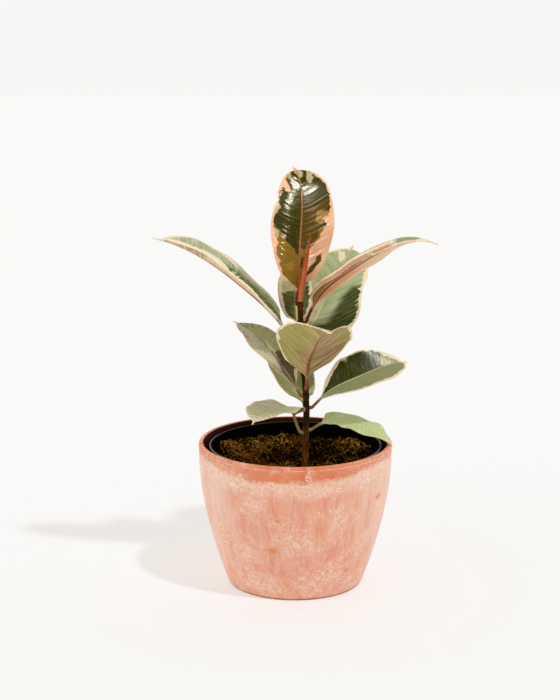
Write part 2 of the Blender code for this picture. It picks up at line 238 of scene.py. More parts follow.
planter = {
    "rimRadius": 90.0, "footRadius": 62.5, "height": 135.0, "wall": 4.6, "floor": 5.0,
    "band": 12.0, "belly": 1.75, "lip": 1.6, "groove": 2.6, "footRound": 1.5,
    "uneven": 0.22, "unevenScale": 0.03,
    "sides": 160, "levels": 46, "lowestLevel": 3.2,
    "clay": tint(218, 104, 54), "clayPale": tint(236, 158, 122), "clayDark": tint(196, 96, 58),
    "bloom": tint(239, 177, 151), "bloomPale": tint(249, 216, 202), "bloomDeep": tint(236, 159, 131),
    # inside is painted shade: the dark inner wall above the grow pot
    "crust": tint(255, 230, 212), "splotch": tint(240, 142, 92), "inside": tint(70, 24, 10),
    # foot is painted shadow: the dark line where the planter meets the floor
    "foot": tint(150, 84, 58), "bareLow": 120.0,
    # spots on the front: x, z, half width and half height
    "splotches": [(-15, 84, 11.0, 3.6), (-22, 53, 9.0, 3.2), (76, 95, 7.0, 4.0), (46, 27, 5.0, 4.0)],
    "crusts": [
        (0, 60, 30, 18), (38, 82, 11, 30), (-46, 44, 18, 20), (30, 24, 34, 18), (-28, 16, 36, 16),
        (78, 86, 13, 26), (-14, 82, 18, 10), (-66, 58, 16, 26), (-40, 98, 16, 10), (62, 50, 12, 18)],
}


def planterSide(z):
    share = max(0.0, 1 - z / (planter["height"] - planter["band"]))
    return planter["rimRadius"] - (planter["rimRadius"] - planter["footRadius"]) * share ** planter["belly"]


def nearSpots(at, spots):
    # one at the middle of any spot on the front, falling to zero at its edge
    shares = []
    for x, z, wide, tall in spots:
        y = -math.sqrt(max(0.0, planterSide(z) ** 2 - x * x))
        offset = vector("MULTIPLY", vector("SUBTRACT", at, (x, y, z)), (1 / wide, 1 / wide, 1 / tall))
        shares.append(take(1.0, vector("LENGTH", offset, (0, 0, 0), out=1)))
    return most(*shares)


def clayFinish():
    p = planter
    finish = newFinish("bloomedClay", 0.8, 0.15)
    at = millimetres()
    x, y, z = split(at)
    wide = size(x)
    coarse = cloud(at, 0.03, 4.0, 0.6, 0.4)
    middle = cloud(at, 0.09, 5.0, 0.65, 0.8)
    fine = cloud(at, 0.45, 4.0, 0.65)
    streak = tallCloud(at, 0.035, 0.11, 5.0, 0.68)
    thread = tallCloud(at, 0.08, 0.5, 3.0, 0.6)
    low = add(p["bareLow"], ramp(wide, 35.0, 80.0, 0.0, 6.0))
    below = take(low, add(z, add(shifted(coarse, 0.5, 14.0), shifted(middle, 0.5, 16.0))))
    # lace: the level lines of two twisted clouds, in a ring below the band and in patches
    curls = size(sine(times(cloud(at, 0.1, 3.0, 0.55, 1.2), 22.0)))
    small = size(sine(times(cloud(at, 0.2, 2.0, 0.5, 1.6), 13.0)))
    dust = ramp(cloud(at, 0.7, 4.0, 0.7, 0.8), 0.4, 0.62)
    ring = times(ramp(below, -5.0, 1.0), ramp(below, 19.0, 8.0), ramp(z, 131.5, 127.0, 0.15, 1.0))
    patch = ramp(add(nearSpots(at, p["crusts"]), shifted(middle, 0.5, 2.6)), 0.0, 0.75)
    patchy = most(patch, ramp(cloud(at, 0.05, 4.0, 0.6, 0.6), 0.5, 0.66, 0.0, 0.85))
    lace = most(ramp(curls, 0.66, 0.26), ramp(small, 0.58, 0.2, 0.0, 0.85), times(dust, 0.2))
    lace = times(most(ring, patchy), lace)
    # painted sheen: the bare clay and its dust grow paler towards the left and right sides
    clay = layers(
        p["clay"],
        (add(ramp(coarse, 0.35, 0.7, 0.0, 0.6), ramp(wide, 25.0, 70.0, 0.0, 0.5)), p["clayPale"]),
        (ramp(fine, 0.55, 0.8, 0.0, 0.35), p["clayDark"]),
        (times(ramp(dust, 0.3, 1.0), ramp(wide, 20.0, 80.0, 0.1, 0.7)), p["bloomPale"]))
    side = layers(
        p["bloomDeep"],
        (ramp(streak, 0.36, 0.6), p["bloom"]),
        (ramp(streak, 0.6, 0.8, 0.0, 0.6), p["bloomPale"]),
        (ramp(thread, 0.5, 0.74, 0.0, 0.5), p["bloomPale"]),
        # painted sheen: the bloom grows paler towards the left and right sides, still streaky
        (times(ramp(wide, 40.0, 82.0, 0.0, 0.9), ramp(streak, 0.34, 0.58, 0.45, 1.0)), p["bloomPale"]))
    spot = ramp(add(nearSpots(at, p["splotches"]), shifted(middle, 0.5, 2.6)), 0.0, 0.6, 0.0, 0.9)
    groove = times(ramp(z, 131.2, 131.6), ramp(z, 132.4, 132.0, 0.0, 0.6), ramp(middle, 0.4, 0.6, 0.2, 1.0))
    colour = layers(
        clay,
        (ramp(below, -4.0, 3.0), side),
        (times(ring, 0.3), layers(p["bloom"], (ramp(middle, 0.4, 0.6), p["bloomPale"]))),
        (times(patchy, 0.4), layers(p["clayPale"], (ramp(middle, 0.44, 0.6), p["bloom"]))),
        (times(lace, 0.75), p["crust"]),
        (times(spot, ramp(lace, 0.0, 1.0, 1.0, 0.4)), p["splotch"]),
        (groove, p["bloomPale"]),
        # painted shadow: a dark line at the very bottom, where the planter stands on the floor
        (ramp(add(z, shifted(fine, 0.5, 3.0)), 2.6, 0.4), p["foot"]),
        # painted shade: the inner wall in the gap round the grow pot is darkened
        (times(ramp(fromAxis(x, y), 86.6, 85.9), ramp(z, 112.0, 118.0)), p["inside"]))
    height = add(times(fine, 0.5), times(thread, 0.4), times(lace, 0.6))
    return dress(finish, colour, height, 0.3, 0.5, ramp(fine, 0.2, 0.8, 0.66, 0.92))


def makePlanter():
    p = planter
    rim, top, lip, wall = p["rimRadius"], p["height"], p["lip"], p["wall"]
    bandLow, groove, rimIn = top - p["band"], top - p["groove"], rim - wall
    foot, footRound = p["footRadius"] - p["footRound"], p["footRound"]
    levels = list(np.linspace(p["lowestLevel"], bandLow, p["levels"]))
    profile = [(0, 0), (foot * 0.5, 0), (foot, 0)]
    profile += corner(foot, footRound, footRound, -70, -5, 4)
    profile += [(planterSide(z), z) for z in levels]
    profile += [(rim, bandLow + p["band"] * 0.4)]
    profile += [(rim, groove - 0.5), (rim - 0.4, groove), (rim, groove + 0.35)]
    profile += corner(rim - lip, top - lip, lip, 0, 90, 5)
    profile += corner(rimIn + lip, top - lip, lip, 90, 180, 5)
    profile += [(planterSide(z) - wall, z) for z in reversed(levels) if z > 2 * p["floor"]]
    profile += [(foot - wall, p["floor"]), (0, p["floor"])]
    points, faces = lathe(profile, p["sides"])
    shaped = []
    for x, y, z in points:
        away = math.hypot(x, y)
        if away > 40 and z > 1:  # what it stands on stays flat
            grow = 1 + p["uneven"] * noise.noise(Vector((x, y, z)) * p["unevenScale"]) / away
            x, y = x * grow, y * grow
        shaped.append((x, y, z))
    newPiece("planterShell", shaped, faces, [clayFinish()], ["planter"], sharp=40)


makePlanter()
print("planter made")


# Grow pot: thin black plastic with a rolled rim

growPot = {
    "rimRadius": 80.5, "rimHeight": 132.0, "band": 6.0, "overhang": 1.9, "footRadius": 56.0, "wall": 1.3,
    "low": 5.3, "floor": 1.6, "footRound": 2, "lipRound": 0.8, "sides": 144, "levels": 12,
    # edge is a painted highlight: the light grey sheen along the top of the rolled rim
    "plastic": tint(6, 5, 4), "dust": tint(18, 13, 7), "edge": tint(120, 122, 120),
}


def potSide(z):
    p = growPot
    high, wide = p["rimHeight"] - p["band"], p["rimRadius"] - p["overhang"]
    return p["footRadius"] + (wide - p["footRadius"]) * (z - p["low"]) / (high - p["low"])


def plasticFinish():
    p = growPot
    rim, top = p["rimRadius"], p["rimHeight"]
    finish = newFinish("blackPlastic", 0.5, 0.02, (1.0, 0.95, 0.85, 1.0))
    at = millimetres()
    x, y, z = split(at)
    # painted highlight: the top of the rolled rim is light grey, and smoother
    rimSheen = times(ramp(z, top - 0.9, top - 0.3), ramp(fromAxis(x, y), rim - 1.6, rim - 1.2))
    mottle = cloud(at, 0.18, 4.0, 0.6)
    colour = layers(p["plastic"], (ramp(mottle, 0.5, 0.78, 0.0, 0.45), p["dust"]), (rimSheen, p["edge"]))
    dull = take(ramp(mottle, 0.3, 0.7, 0.66, 0.85), times(rimSheen, 0.3))
    return dress(finish, colour, cloud(at, 1.4), 0.08, 0.4, dull)


def makeGrowPot():
    p = growPot
    low, wall, bend, lip = p["low"], p["wall"], p["footRound"], p["lipRound"]
    foot = p["footRadius"] - bend
    bandLow, lipLow = p["rimHeight"] - p["band"], p["rimHeight"] - lip
    innerTop, floorTop = potSide(bandLow) - wall, low + p["floor"]
    profile = [(0, low), (foot, low)]
    profile += corner(foot, low + bend, bend, -80, 0, 4)
    profile += [(potSide(z), z) for z in np.linspace(low + 8, bandLow, p["levels"])]
    profile += corner(p["rimRadius"] - 0.5, bandLow + 0.5, 0.5, -90, 0, 2)
    profile += corner(p["rimRadius"] - lip, lipLow, lip, 0, 90, 4)
    profile += corner(innerTop + lip, lipLow, lip, 90, 180, 4)
    profile += [(innerTop, bandLow)]
    profile += [(potSide(z) - wall, z) for z in np.linspace(bandLow - 6, floorTop + 4, p["levels"])]
    profile += [(potSide(floorTop) - wall, floorTop), (0, floorTop)]
    points, faces = lathe(profile, p["sides"])
    newPiece("growPotShell", points, faces, [plasticFinish()], ["nursery_pot"], sharp=50)


makeGrowPot()
print("grow pot made")


# Potting mix: its CAD solid is hidden under the moss, and only takes a finish

pottingMix = {"dark": tint(34, 22, 12), "light": tint(92, 62, 36)}


def soilFinish():
    finish = newFinish("pottingSoil", 0.95, 0.1)
    crumb = cloud(millimetres(), 0.3, 5.0, 0.7)
    colour = layers(pottingMix["dark"], (ramp(crumb, 0.35, 0.7), pottingMix["light"]))
    return dress(finish, colour, crumb, 1.5, 0.9)


soil = frame["nodes"]["potting_mix"]
soil.data.materials.clear()
soil.data.materials.append(soilFinish())
print("potting mix finished")


# Moss: a lumpy bed with tufts of short curly strands and a few loose pale ones

moss = {
    "low": 104.3, "around": 108.0, "rise": 12.0, "frontDip": 7.0, "seed": 11, "edge": 73.6, "potAt": 104.0,
    "rings": 92, "sides": 200,
    # mounds and hollows: x, y, spread and height
    "mounds": [
        (-66, 18, 9, 7.5), (-46, 36, 11, 5), (-18, 54, 12, -2.5), (54, 30, 13, 8), (30, 60, 9, -2),
        (24, 36, 9, -6), (65, 10, 9, 6), (-58, -14, 11, 4), (-30, 10, 10, 2), (40, 2, 9, 2),
        (-6, -30, 12, 3), (34, -40, 10, 4)],
    # golden places above zero, and hollows below zero where shade is painted dark: x, y, spread and share
    "tones": [
        (56, 26, 13, 1.0), (-40, 30, 14, 0.5), (-20, 54, 12, 0.3), (-62, 18, 10, 0.5), (22, 34, 12, -1.3),
        (-8, 26, 12, -0.8), (28, 2, 12, -0.8), (36, 62, 12, -0.5), (-26, 4, 10, -0.5), (-52, 2, 9, 0.4)],
    # red-brown places: x, y, spread and share
    "rusty": [
        (-60, 20, 9, 1), (-44, 6, 9, 1), (-26, -10, 9, 1), (-12, -22, 7, 1), (48, 44, 8, 1),
        (-30, 38, 8, 1)],
    "tufts": 230, "tuftSpread": (1.8, 4.0), "tuftHeight": (-3.2, 4.4), "crumb": 0.9, "kindSpread": 0.3,
    "strands": {
        "mossTufts": dict(count=4300, length=(4.0, 9.0), width=(0.5, 1.15), bend=1.1, kind=0.46, seed=5),
        "mossStrands": dict(count=420, length=(9.0, 24.0), width=(0.25, 0.5), bend=0.35, kind=0.72, seed=6)},
    "strandSteps": 6, "strandSides": 3, "hump": (0.3, 2.6), "shake": 0.4, "clumpScale": 0.07, "clump": 0.7,
    "stemFoot": (9.1, 0.0), "stemDip": (3.0, 7.0),
    "brown": tint(150, 94, 22), "dark": tint(16, 9, 1), "gold": tint(250, 198, 84),
    "green": tint(164, 144, 22), "pale": tint(232, 200, 134), "rust": tint(184, 98, 40), "grain": 0.33,
}


def mossLumps():
    rng = np.random.default_rng(moss["seed"])
    lumps = list(moss["mounds"])
    for _ in range(moss["tufts"]):
        turn, radius = rng.uniform(0, fullTurn), moss["edge"] * math.sqrt(rng.uniform(0.0, 1))
        lumps.append((radius * math.cos(turn), radius * math.sin(turn),
                      rng.uniform(*moss["tuftSpread"]), rng.uniform(*moss["tuftHeight"])))
    return lumps


def hills(x, y, places):
    # how high each soft round hill stands at a point
    return [tall * np.exp(-((x - hillX) ** 2 + (y - hillY) ** 2) / (2 * spread ** 2))
            for hillX, hillY, spread, tall in places]


def mossHeight(x, y, lumps):
    wide = potSide(moss["potAt"])
    away = np.hypot(x - moss["stemFoot"][0], y - moss["stemFoot"][1]) / wide
    height = moss["around"] + moss["rise"] * np.minimum(1.0, away) ** 1.2
    return sum(hills(x, y, lumps), height - moss["frontDip"] * np.maximum(0.0, -y / wide))


def mossFinish():
    m = moss
    finish = newFinish("mossBed", 0.95, 0.01)
    at = millimetres()
    tuft = cloud(at, 0.12, 5.0, 0.65, 0.5)
    hair = cloud(at, 0.9, 4.0, 0.7, 1.5)
    shadedGaps = ramp(cloud(at, m["grain"], 3.0, 0.6, 0.6), 0.6, 0.5)
    colour = layers(
        m["dark"],
        (ramp(tuft, 0.38, 0.62), m["brown"]),
        (ramp(hair, 0.52, 0.7, 0.0, 0.7), m["green"]),
        # painted shade: dark in the gaps between tufts and in the low places
        (most(shadedGaps, ramp(field("raised"), 0.2, -1.6)), m["dark"]))
    return dress(finish, colour, add(hair, tuft), 1.6, 1.0)


def strandFinish(name):
    m = moss
    finish = newFinish(name, 0.8, 0.01, (1.0, 0.9, 0.6, 1.0))
    kind, raised, rust, tone = map(field, ("kind", "raised", "rust", "tone"))
    at = millimetres()
    grain = cloud(at, m["grain"], 3.0, 0.6, 0.6)
    colour = layers(
        m["dark"],
        (ramp(kind, 0.0, 0.25), m["brown"]),
        (ramp(kind, 0.3, 0.42), m["rust"]),
        (ramp(kind, 0.44, 0.56), m["green"]),
        (ramp(kind, 0.6, 0.8), m["gold"]),
        (ramp(kind, 0.9, 1.0), m["pale"]),
        (ramp(cloud(at, 0.6), 0.45, 0.75, 0.0, 0.45), m["dark"]),
        # painted shade: dark in the gaps and on strands in low places
        (most(ramp(grain, 0.56, 0.46, 0.0, 0.95), ramp(raised, 0.8, -1.4)), m["dark"]),
        # painted highlight: gold on strands of raised tufts
        (times(ramp(grain, 0.56, 0.64), ramp(raised, -0.4, 1.6), 0.95), m["gold"]),
        (ramp(rust, 0.25, 0.8, 0.0, 0.5), m["rust"]),
        # painted shade: dark in the hollows of the tones
        (ramp(tone, -0.15, -1.2, 0.0, 0.8), m["dark"]),
        (times(ramp(tone, 0.1, 1.0, 0.0, 0.6), ramp(grain, 0.46, 0.56)), m["gold"]))
    return dress(finish, colour)


def unit(vectors):
    return vectors / (np.linalg.norm(vectors, axis=-1, keepdims=True) + 1e-9)


def makeStrands(name, plan, lumps):
    # thin curved threads on the moss; kind picks their colours
    m, count, steps, around = moss, plan["count"], moss["strandSteps"], moss["strandSides"]
    rng = np.random.default_rng(plan["seed"])
    turn, radius = rng.uniform(0, fullTurn, count), (m["edge"] - 2) * np.sqrt(rng.uniform(0.012, 1, count))
    x, y = radius * np.cos(turn), radius * np.sin(turn)
    heading, bend = rng.uniform(0, fullTurn, count), rng.uniform(-plan["bend"], plan["bend"], count)
    length, width = rng.uniform(*plan["length"], count), rng.uniform(*plan["width"], count)
    hump, own = rng.uniform(*m["hump"], count), rng.uniform(-m["kindSpread"], m["kindSpread"], count)
    scale = m["clumpScale"]
    clump = np.array([noise.noise(Vector((a * scale, b * scale, 3.3))) for a, b in zip(x, y)])
    tone = sum(hills(x, y, m["tones"]))
    # tone pushes strand kinds darker in the hollows, as painted shade, and lighter in the golden places
    kind = np.clip(plan["kind"] + m["clump"] * clump + 0.3 * tone + own, 0, 1)
    raised = mossHeight(x, y, lumps) - mossHeight(x, y, m["mounds"])
    path = []
    for k in range(steps):
        inside = np.minimum(1.0, (m["edge"] - 1.2) / np.maximum(1e-6, np.hypot(x, y)))
        x, y = x * inside, y * inside
        lift = hump * math.sin(math.pi * k / (steps - 1)) + 0.2 + rng.uniform(-m["shake"], m["shake"], count)
        path.append(np.column_stack([x, y, mossHeight(x, y, lumps) + lift]))
        x, y = x + length / steps * np.cos(heading), y + length / steps * np.sin(heading)
        heading = heading + bend
    path = np.array(path)
    run = unit(np.gradient(path, axis=0))
    side = unit(np.cross(run, (0, 0, 1)))
    up = np.cross(side, run)
    thin = width[None] * (0.25 + 0.75 * np.sin(math.pi * (np.arange(steps) + 0.5) / steps))[:, None] / 2
    spokes = [path + thin[..., None] * (math.cos(a) * side + math.sin(a) * up)
              for a in np.arange(around) * fullTurn / around]
    points = np.array(spokes).transpose(2, 1, 0, 3).reshape(-1, 3)  # strand by strand, step by step
    one = tubeFaces(steps, around)
    firsts = range(0, len(points), steps * around)
    faces = [tuple(first + k for k in face) for first in firsts for face in one]
    marks = {"kind": kind, "raised": raised, "tone": tone, "rust": np.max(hills(x, y, m["rusty"]), axis=0)}
    marks = {key: np.repeat(values, steps * around) for key, values in marks.items()}
    newPiece(name, points, faces, [strandFinish(name)], [], marks, sharp=180)


def makeMoss():
    m, count = moss, moss["sides"]
    lumps = mossLumps()
    turns = np.arange(count) * fullTurn / count
    radii = m["edge"] * np.arange(1, m["rings"] + 1) / m["rings"]
    x, y = (radii[:, None] * np.cos(turns)).ravel(), (radii[:, None] * np.sin(turns)).ravel()
    z = mossHeight(x, y, lumps)
    raised = z - mossHeight(x, y, m["mounds"])
    z = z + m["crumb"] * np.array([noise.fractal(Vector((a, b, 0)) * 0.3, 0.8, 2.0, 4) for a, b in zip(x, y)])
    dip, reach = m["stemDip"]
    z = z - dip * np.sqrt(np.maximum(0.0, 1 - np.hypot(x - m["stemFoot"][0], y) / reach))
    points = [(0, 0, m["low"]), (0, 0, float(mossHeight(0.0, 0.0, lumps)))]
    points += [(m["edge"] * math.cos(a), m["edge"] * math.sin(a), m["low"]) for a in turns]
    points += list(zip(x, y, z))
    under, top = 2, 2 + count
    outer, faces = top + (m["rings"] - 1) * count, []
    for k in range(count):
        n = (k + 1) % count
        faces += [(0, under + n, under + k), (1, top + k, top + n)]
        faces += [(under + k, under + n, outer + n, outer + k)]
        faces += [(a + k, a + count + k, a + count + n, a + n) for a in range(top, outer, count)]
    marks = {"raised": np.concatenate([np.zeros(top), raised])}
    newPiece("mossBed", points, faces, [mossFinish()], ["moss_top"], marks, sharp=180)
    for name, plan in m["strands"].items():
        makeStrands(name, plan, lumps)


makeMoss()
print("moss made")


# Stem: woody below, greener above, nearly black at the top, with a ring at each leaf

stemPlan = {
    "line": [
        (9.1, 0, 60), (9.1, 0, 111), (10.4, 0, 165), (9.5, 0, 184), (6.5, 0, 220), (4.6, 0, 249),
        (4.4, 0, 268)],
    "lowRadius": 3.35, "highRadius": 2.6, "sides": 28, "step": 1.0, "rough": 0.16, "footTaper": 3.5,
    "swelling": 0.4, "swellingSpread": 1.5, "scar": 0.12, "scarSpread": 0.5, "scarBelow": 2.6,
    "woody": tint(78, 42, 14), "woodyPale": tint(150, 92, 52), "green": tint(44, 32, 4),
    "dark": tint(64, 46, 4), "crack": tint(34, 18, 5), "scarTone": tint(118, 72, 42),
    "dot": tint(186, 150, 118),
}


def stemCentre(z):
    table = np.array(stemPlan["line"], float)
    return np.array([np.interp(z, table[:, 2], table[:, 0]), np.interp(z, table[:, 2], table[:, 1]), z])


def stemRadius(z):
    low, high = stemPlan["line"][0][2], stemPlan["line"][-1][2]
    return stemPlan["lowRadius"] + (stemPlan["highRadius"] - stemPlan["lowRadius"]) * (z - low) / (high - low)


def barkFinish():
    s = stemPlan
    finish = newFinish("youngBark", 0.6, 0.05, (1.0, 0.9, 0.6, 1.0))
    at = millimetres()
    z = split(at)[2]
    tall = vector("MULTIPLY", at, (1.0, 1.0, 0.16))
    grain = cloud(tall, 0.9, 4.0, 0.65)
    speck = cloud(at, 0.8, 3.0, 0.6)
    dots = put("TexVoronoi", {"Vector": tall, "Scale": 0.42})
    colour = layers(
        s["woody"],
        (ramp(grain, 0.4, 0.68), s["woodyPale"]),
        (times(ramp(dots, 0.2, 0.1), ramp(speck, 0.45, 0.6, 0.0, 0.8)), s["dot"]),
        (ramp(add(z, shifted(speck, 0.5, 12.0)), 138.0, 158.0), s["green"]),
        (ramp(z, 225.0, 246.0), s["dark"]),
        (ramp(speck, 0.6, 0.72, 0.0, 0.6), s["crack"]),
        (times(field("ring"), 0.75), s["scarTone"]))
    return dress(finish, colour, grain, 0.5, 0.7, ramp(grain, 0.3, 0.7, 0.42, 0.7))


def makeStem(nodes):
    s, count = stemPlan, stemPlan["sides"]
    low, high = s["line"][0][2], s["line"][-1][2]
    heights = np.arange(low, high + 0.01, s["step"])
    points, rings = [], []
    for z in heights:
        near = max(math.exp(-((z - node) / s["swellingSpread"]) ** 2) for node in nodes)
        ring = max(math.exp(-((z - node + s["scarBelow"]) / s["scarSpread"]) ** 2) for node in nodes)
        radius = stemRadius(z) + s["swelling"] * near + s["scar"] * ring
        radius *= min(1.0, 0.5 + 0.5 * (z - low) / s["footTaper"])
        centre = stemCentre(z)
        for a in np.arange(count) * fullTurn / count:
            rough = s["rough"] * noise.noise(Vector((math.cos(a) * 1.6, math.sin(a) * 1.6, z * 0.12)))
            points.append(centre + (radius + rough) * np.array([math.cos(a), math.sin(a), 0]))
            rings.append(min(1.0, ring + 0.3 * near))
    faces = tubeFaces(len(heights), count)
    newPiece("stemBark", points, faces, [barkFinish()], ["stem"], {"ring": rings})


# Bud sheath: the pointed roll round the next leaf

sheathPlan = {
    "line": [(4.4, 0, 268.3), (6.4, -0.6, 284), (9.8, -2.6, 306), (13.8, -6.0, 333)],
    "radii": [2.5, 3.1, 2.0, 0.3], "sides": 28, "rings": 70,
    "lap": 0.09, "lapAt": 3.4, "twist": 0.012, "flat": 0.06, "seamAt": 3.7,
    "base": tint(200, 112, 66), "side": tint(234, 150, 120), "tip": tint(182, 56, 44),
    # the seam colour is painted shadow: a dark line down the lap on the sheath's left side
    "seamShade": tint(104, 30, 18),
}


def sheathFinish():
    s = sheathPlan
    finish = newFinish("budSheath", 0.38, 0.12)
    along, around = field("along"), field("around")
    streak = cloud(place(times(along, 0.03), times(around, 1.2)), 3.0)
    colour = layers(
        s["base"],
        (ramp(along, 4.0, 58.0), s["tip"]),
        (ramp(streak, 0.5, 0.75, 0.0, 0.6), s["side"]),
        # painted shadow: a dark line along the lap seam
        (ramp(size(take(around, s["seamAt"])), 0.16, 0.05), s["seamShade"]),
        (ramp(along, 1.2, 0.4), s["side"]))
    return dress(finish, colour, add(streak, cloud(millimetres(), 1.2)), 0.2, 0.5)


def makeSheath():
    s, count = sheathPlan, sheathPlan["sides"]
    line = np.array(s["line"], float)
    heights = np.linspace(line[0, 2], line[-1, 2], s["rings"])
    points, along, around = [], [], []
    for z in heights:
        x, y, radius = (np.interp(z, line[:, 2], values) for values in (line[:, 0], line[:, 1], s["radii"]))
        for a in np.arange(count) * fullTurn / count:
            lap = s["lap"] * math.cos(a - s["lapAt"] - (z - heights[0]) * s["twist"])
            wrap = 1 + lap - s["flat"] * math.cos(2 * a)
            points.append((x + radius * wrap * math.cos(a), y + radius * wrap * math.sin(a), z))
            along.append(z - heights[0])
            around.append(a)
    faces, marks = tubeFaces(len(heights), count), {"along": along, "around": around}
    newPiece("budSheath", points, faces, [sheathFinish()], ["bud_sheath"], marks)


# Leaves: shared measures, then one plan for each leaf

blade = {
    "thick": 0.8, "edgeThick": 0.5, "midrib": 1.3, "groove": 0.28, "spur": 0.05, "taper": (2.15, 0.475),
    "wave": 0.9, "waves": 3, "ripple": 0.35, "widest": 0.52, "pucker": 0.2, "ribbed": 0.16,
    "veinGap": 5.7, "veinLean": 0.34, "veinCurve": 0.006, "across": 20, "rings": 165, "pathSteps": 240,
    "stalkRadius": 1.35, "stalkFoot": 1.8, "heel": 2.6, "heelRise": 8.0, "gap": 0.3, "sunk": 1.4,
    "stalkBlend": 0.09, "stalkRings": 14, "far": 30.0, "rippleScale": 0.07, "bumpScale": (0.24, 0.03),
    "grooveWide": 0.9, "grooveFade": 0.6, "midribWide": (1.5, 0.8), "midribFade": 0.75,
}

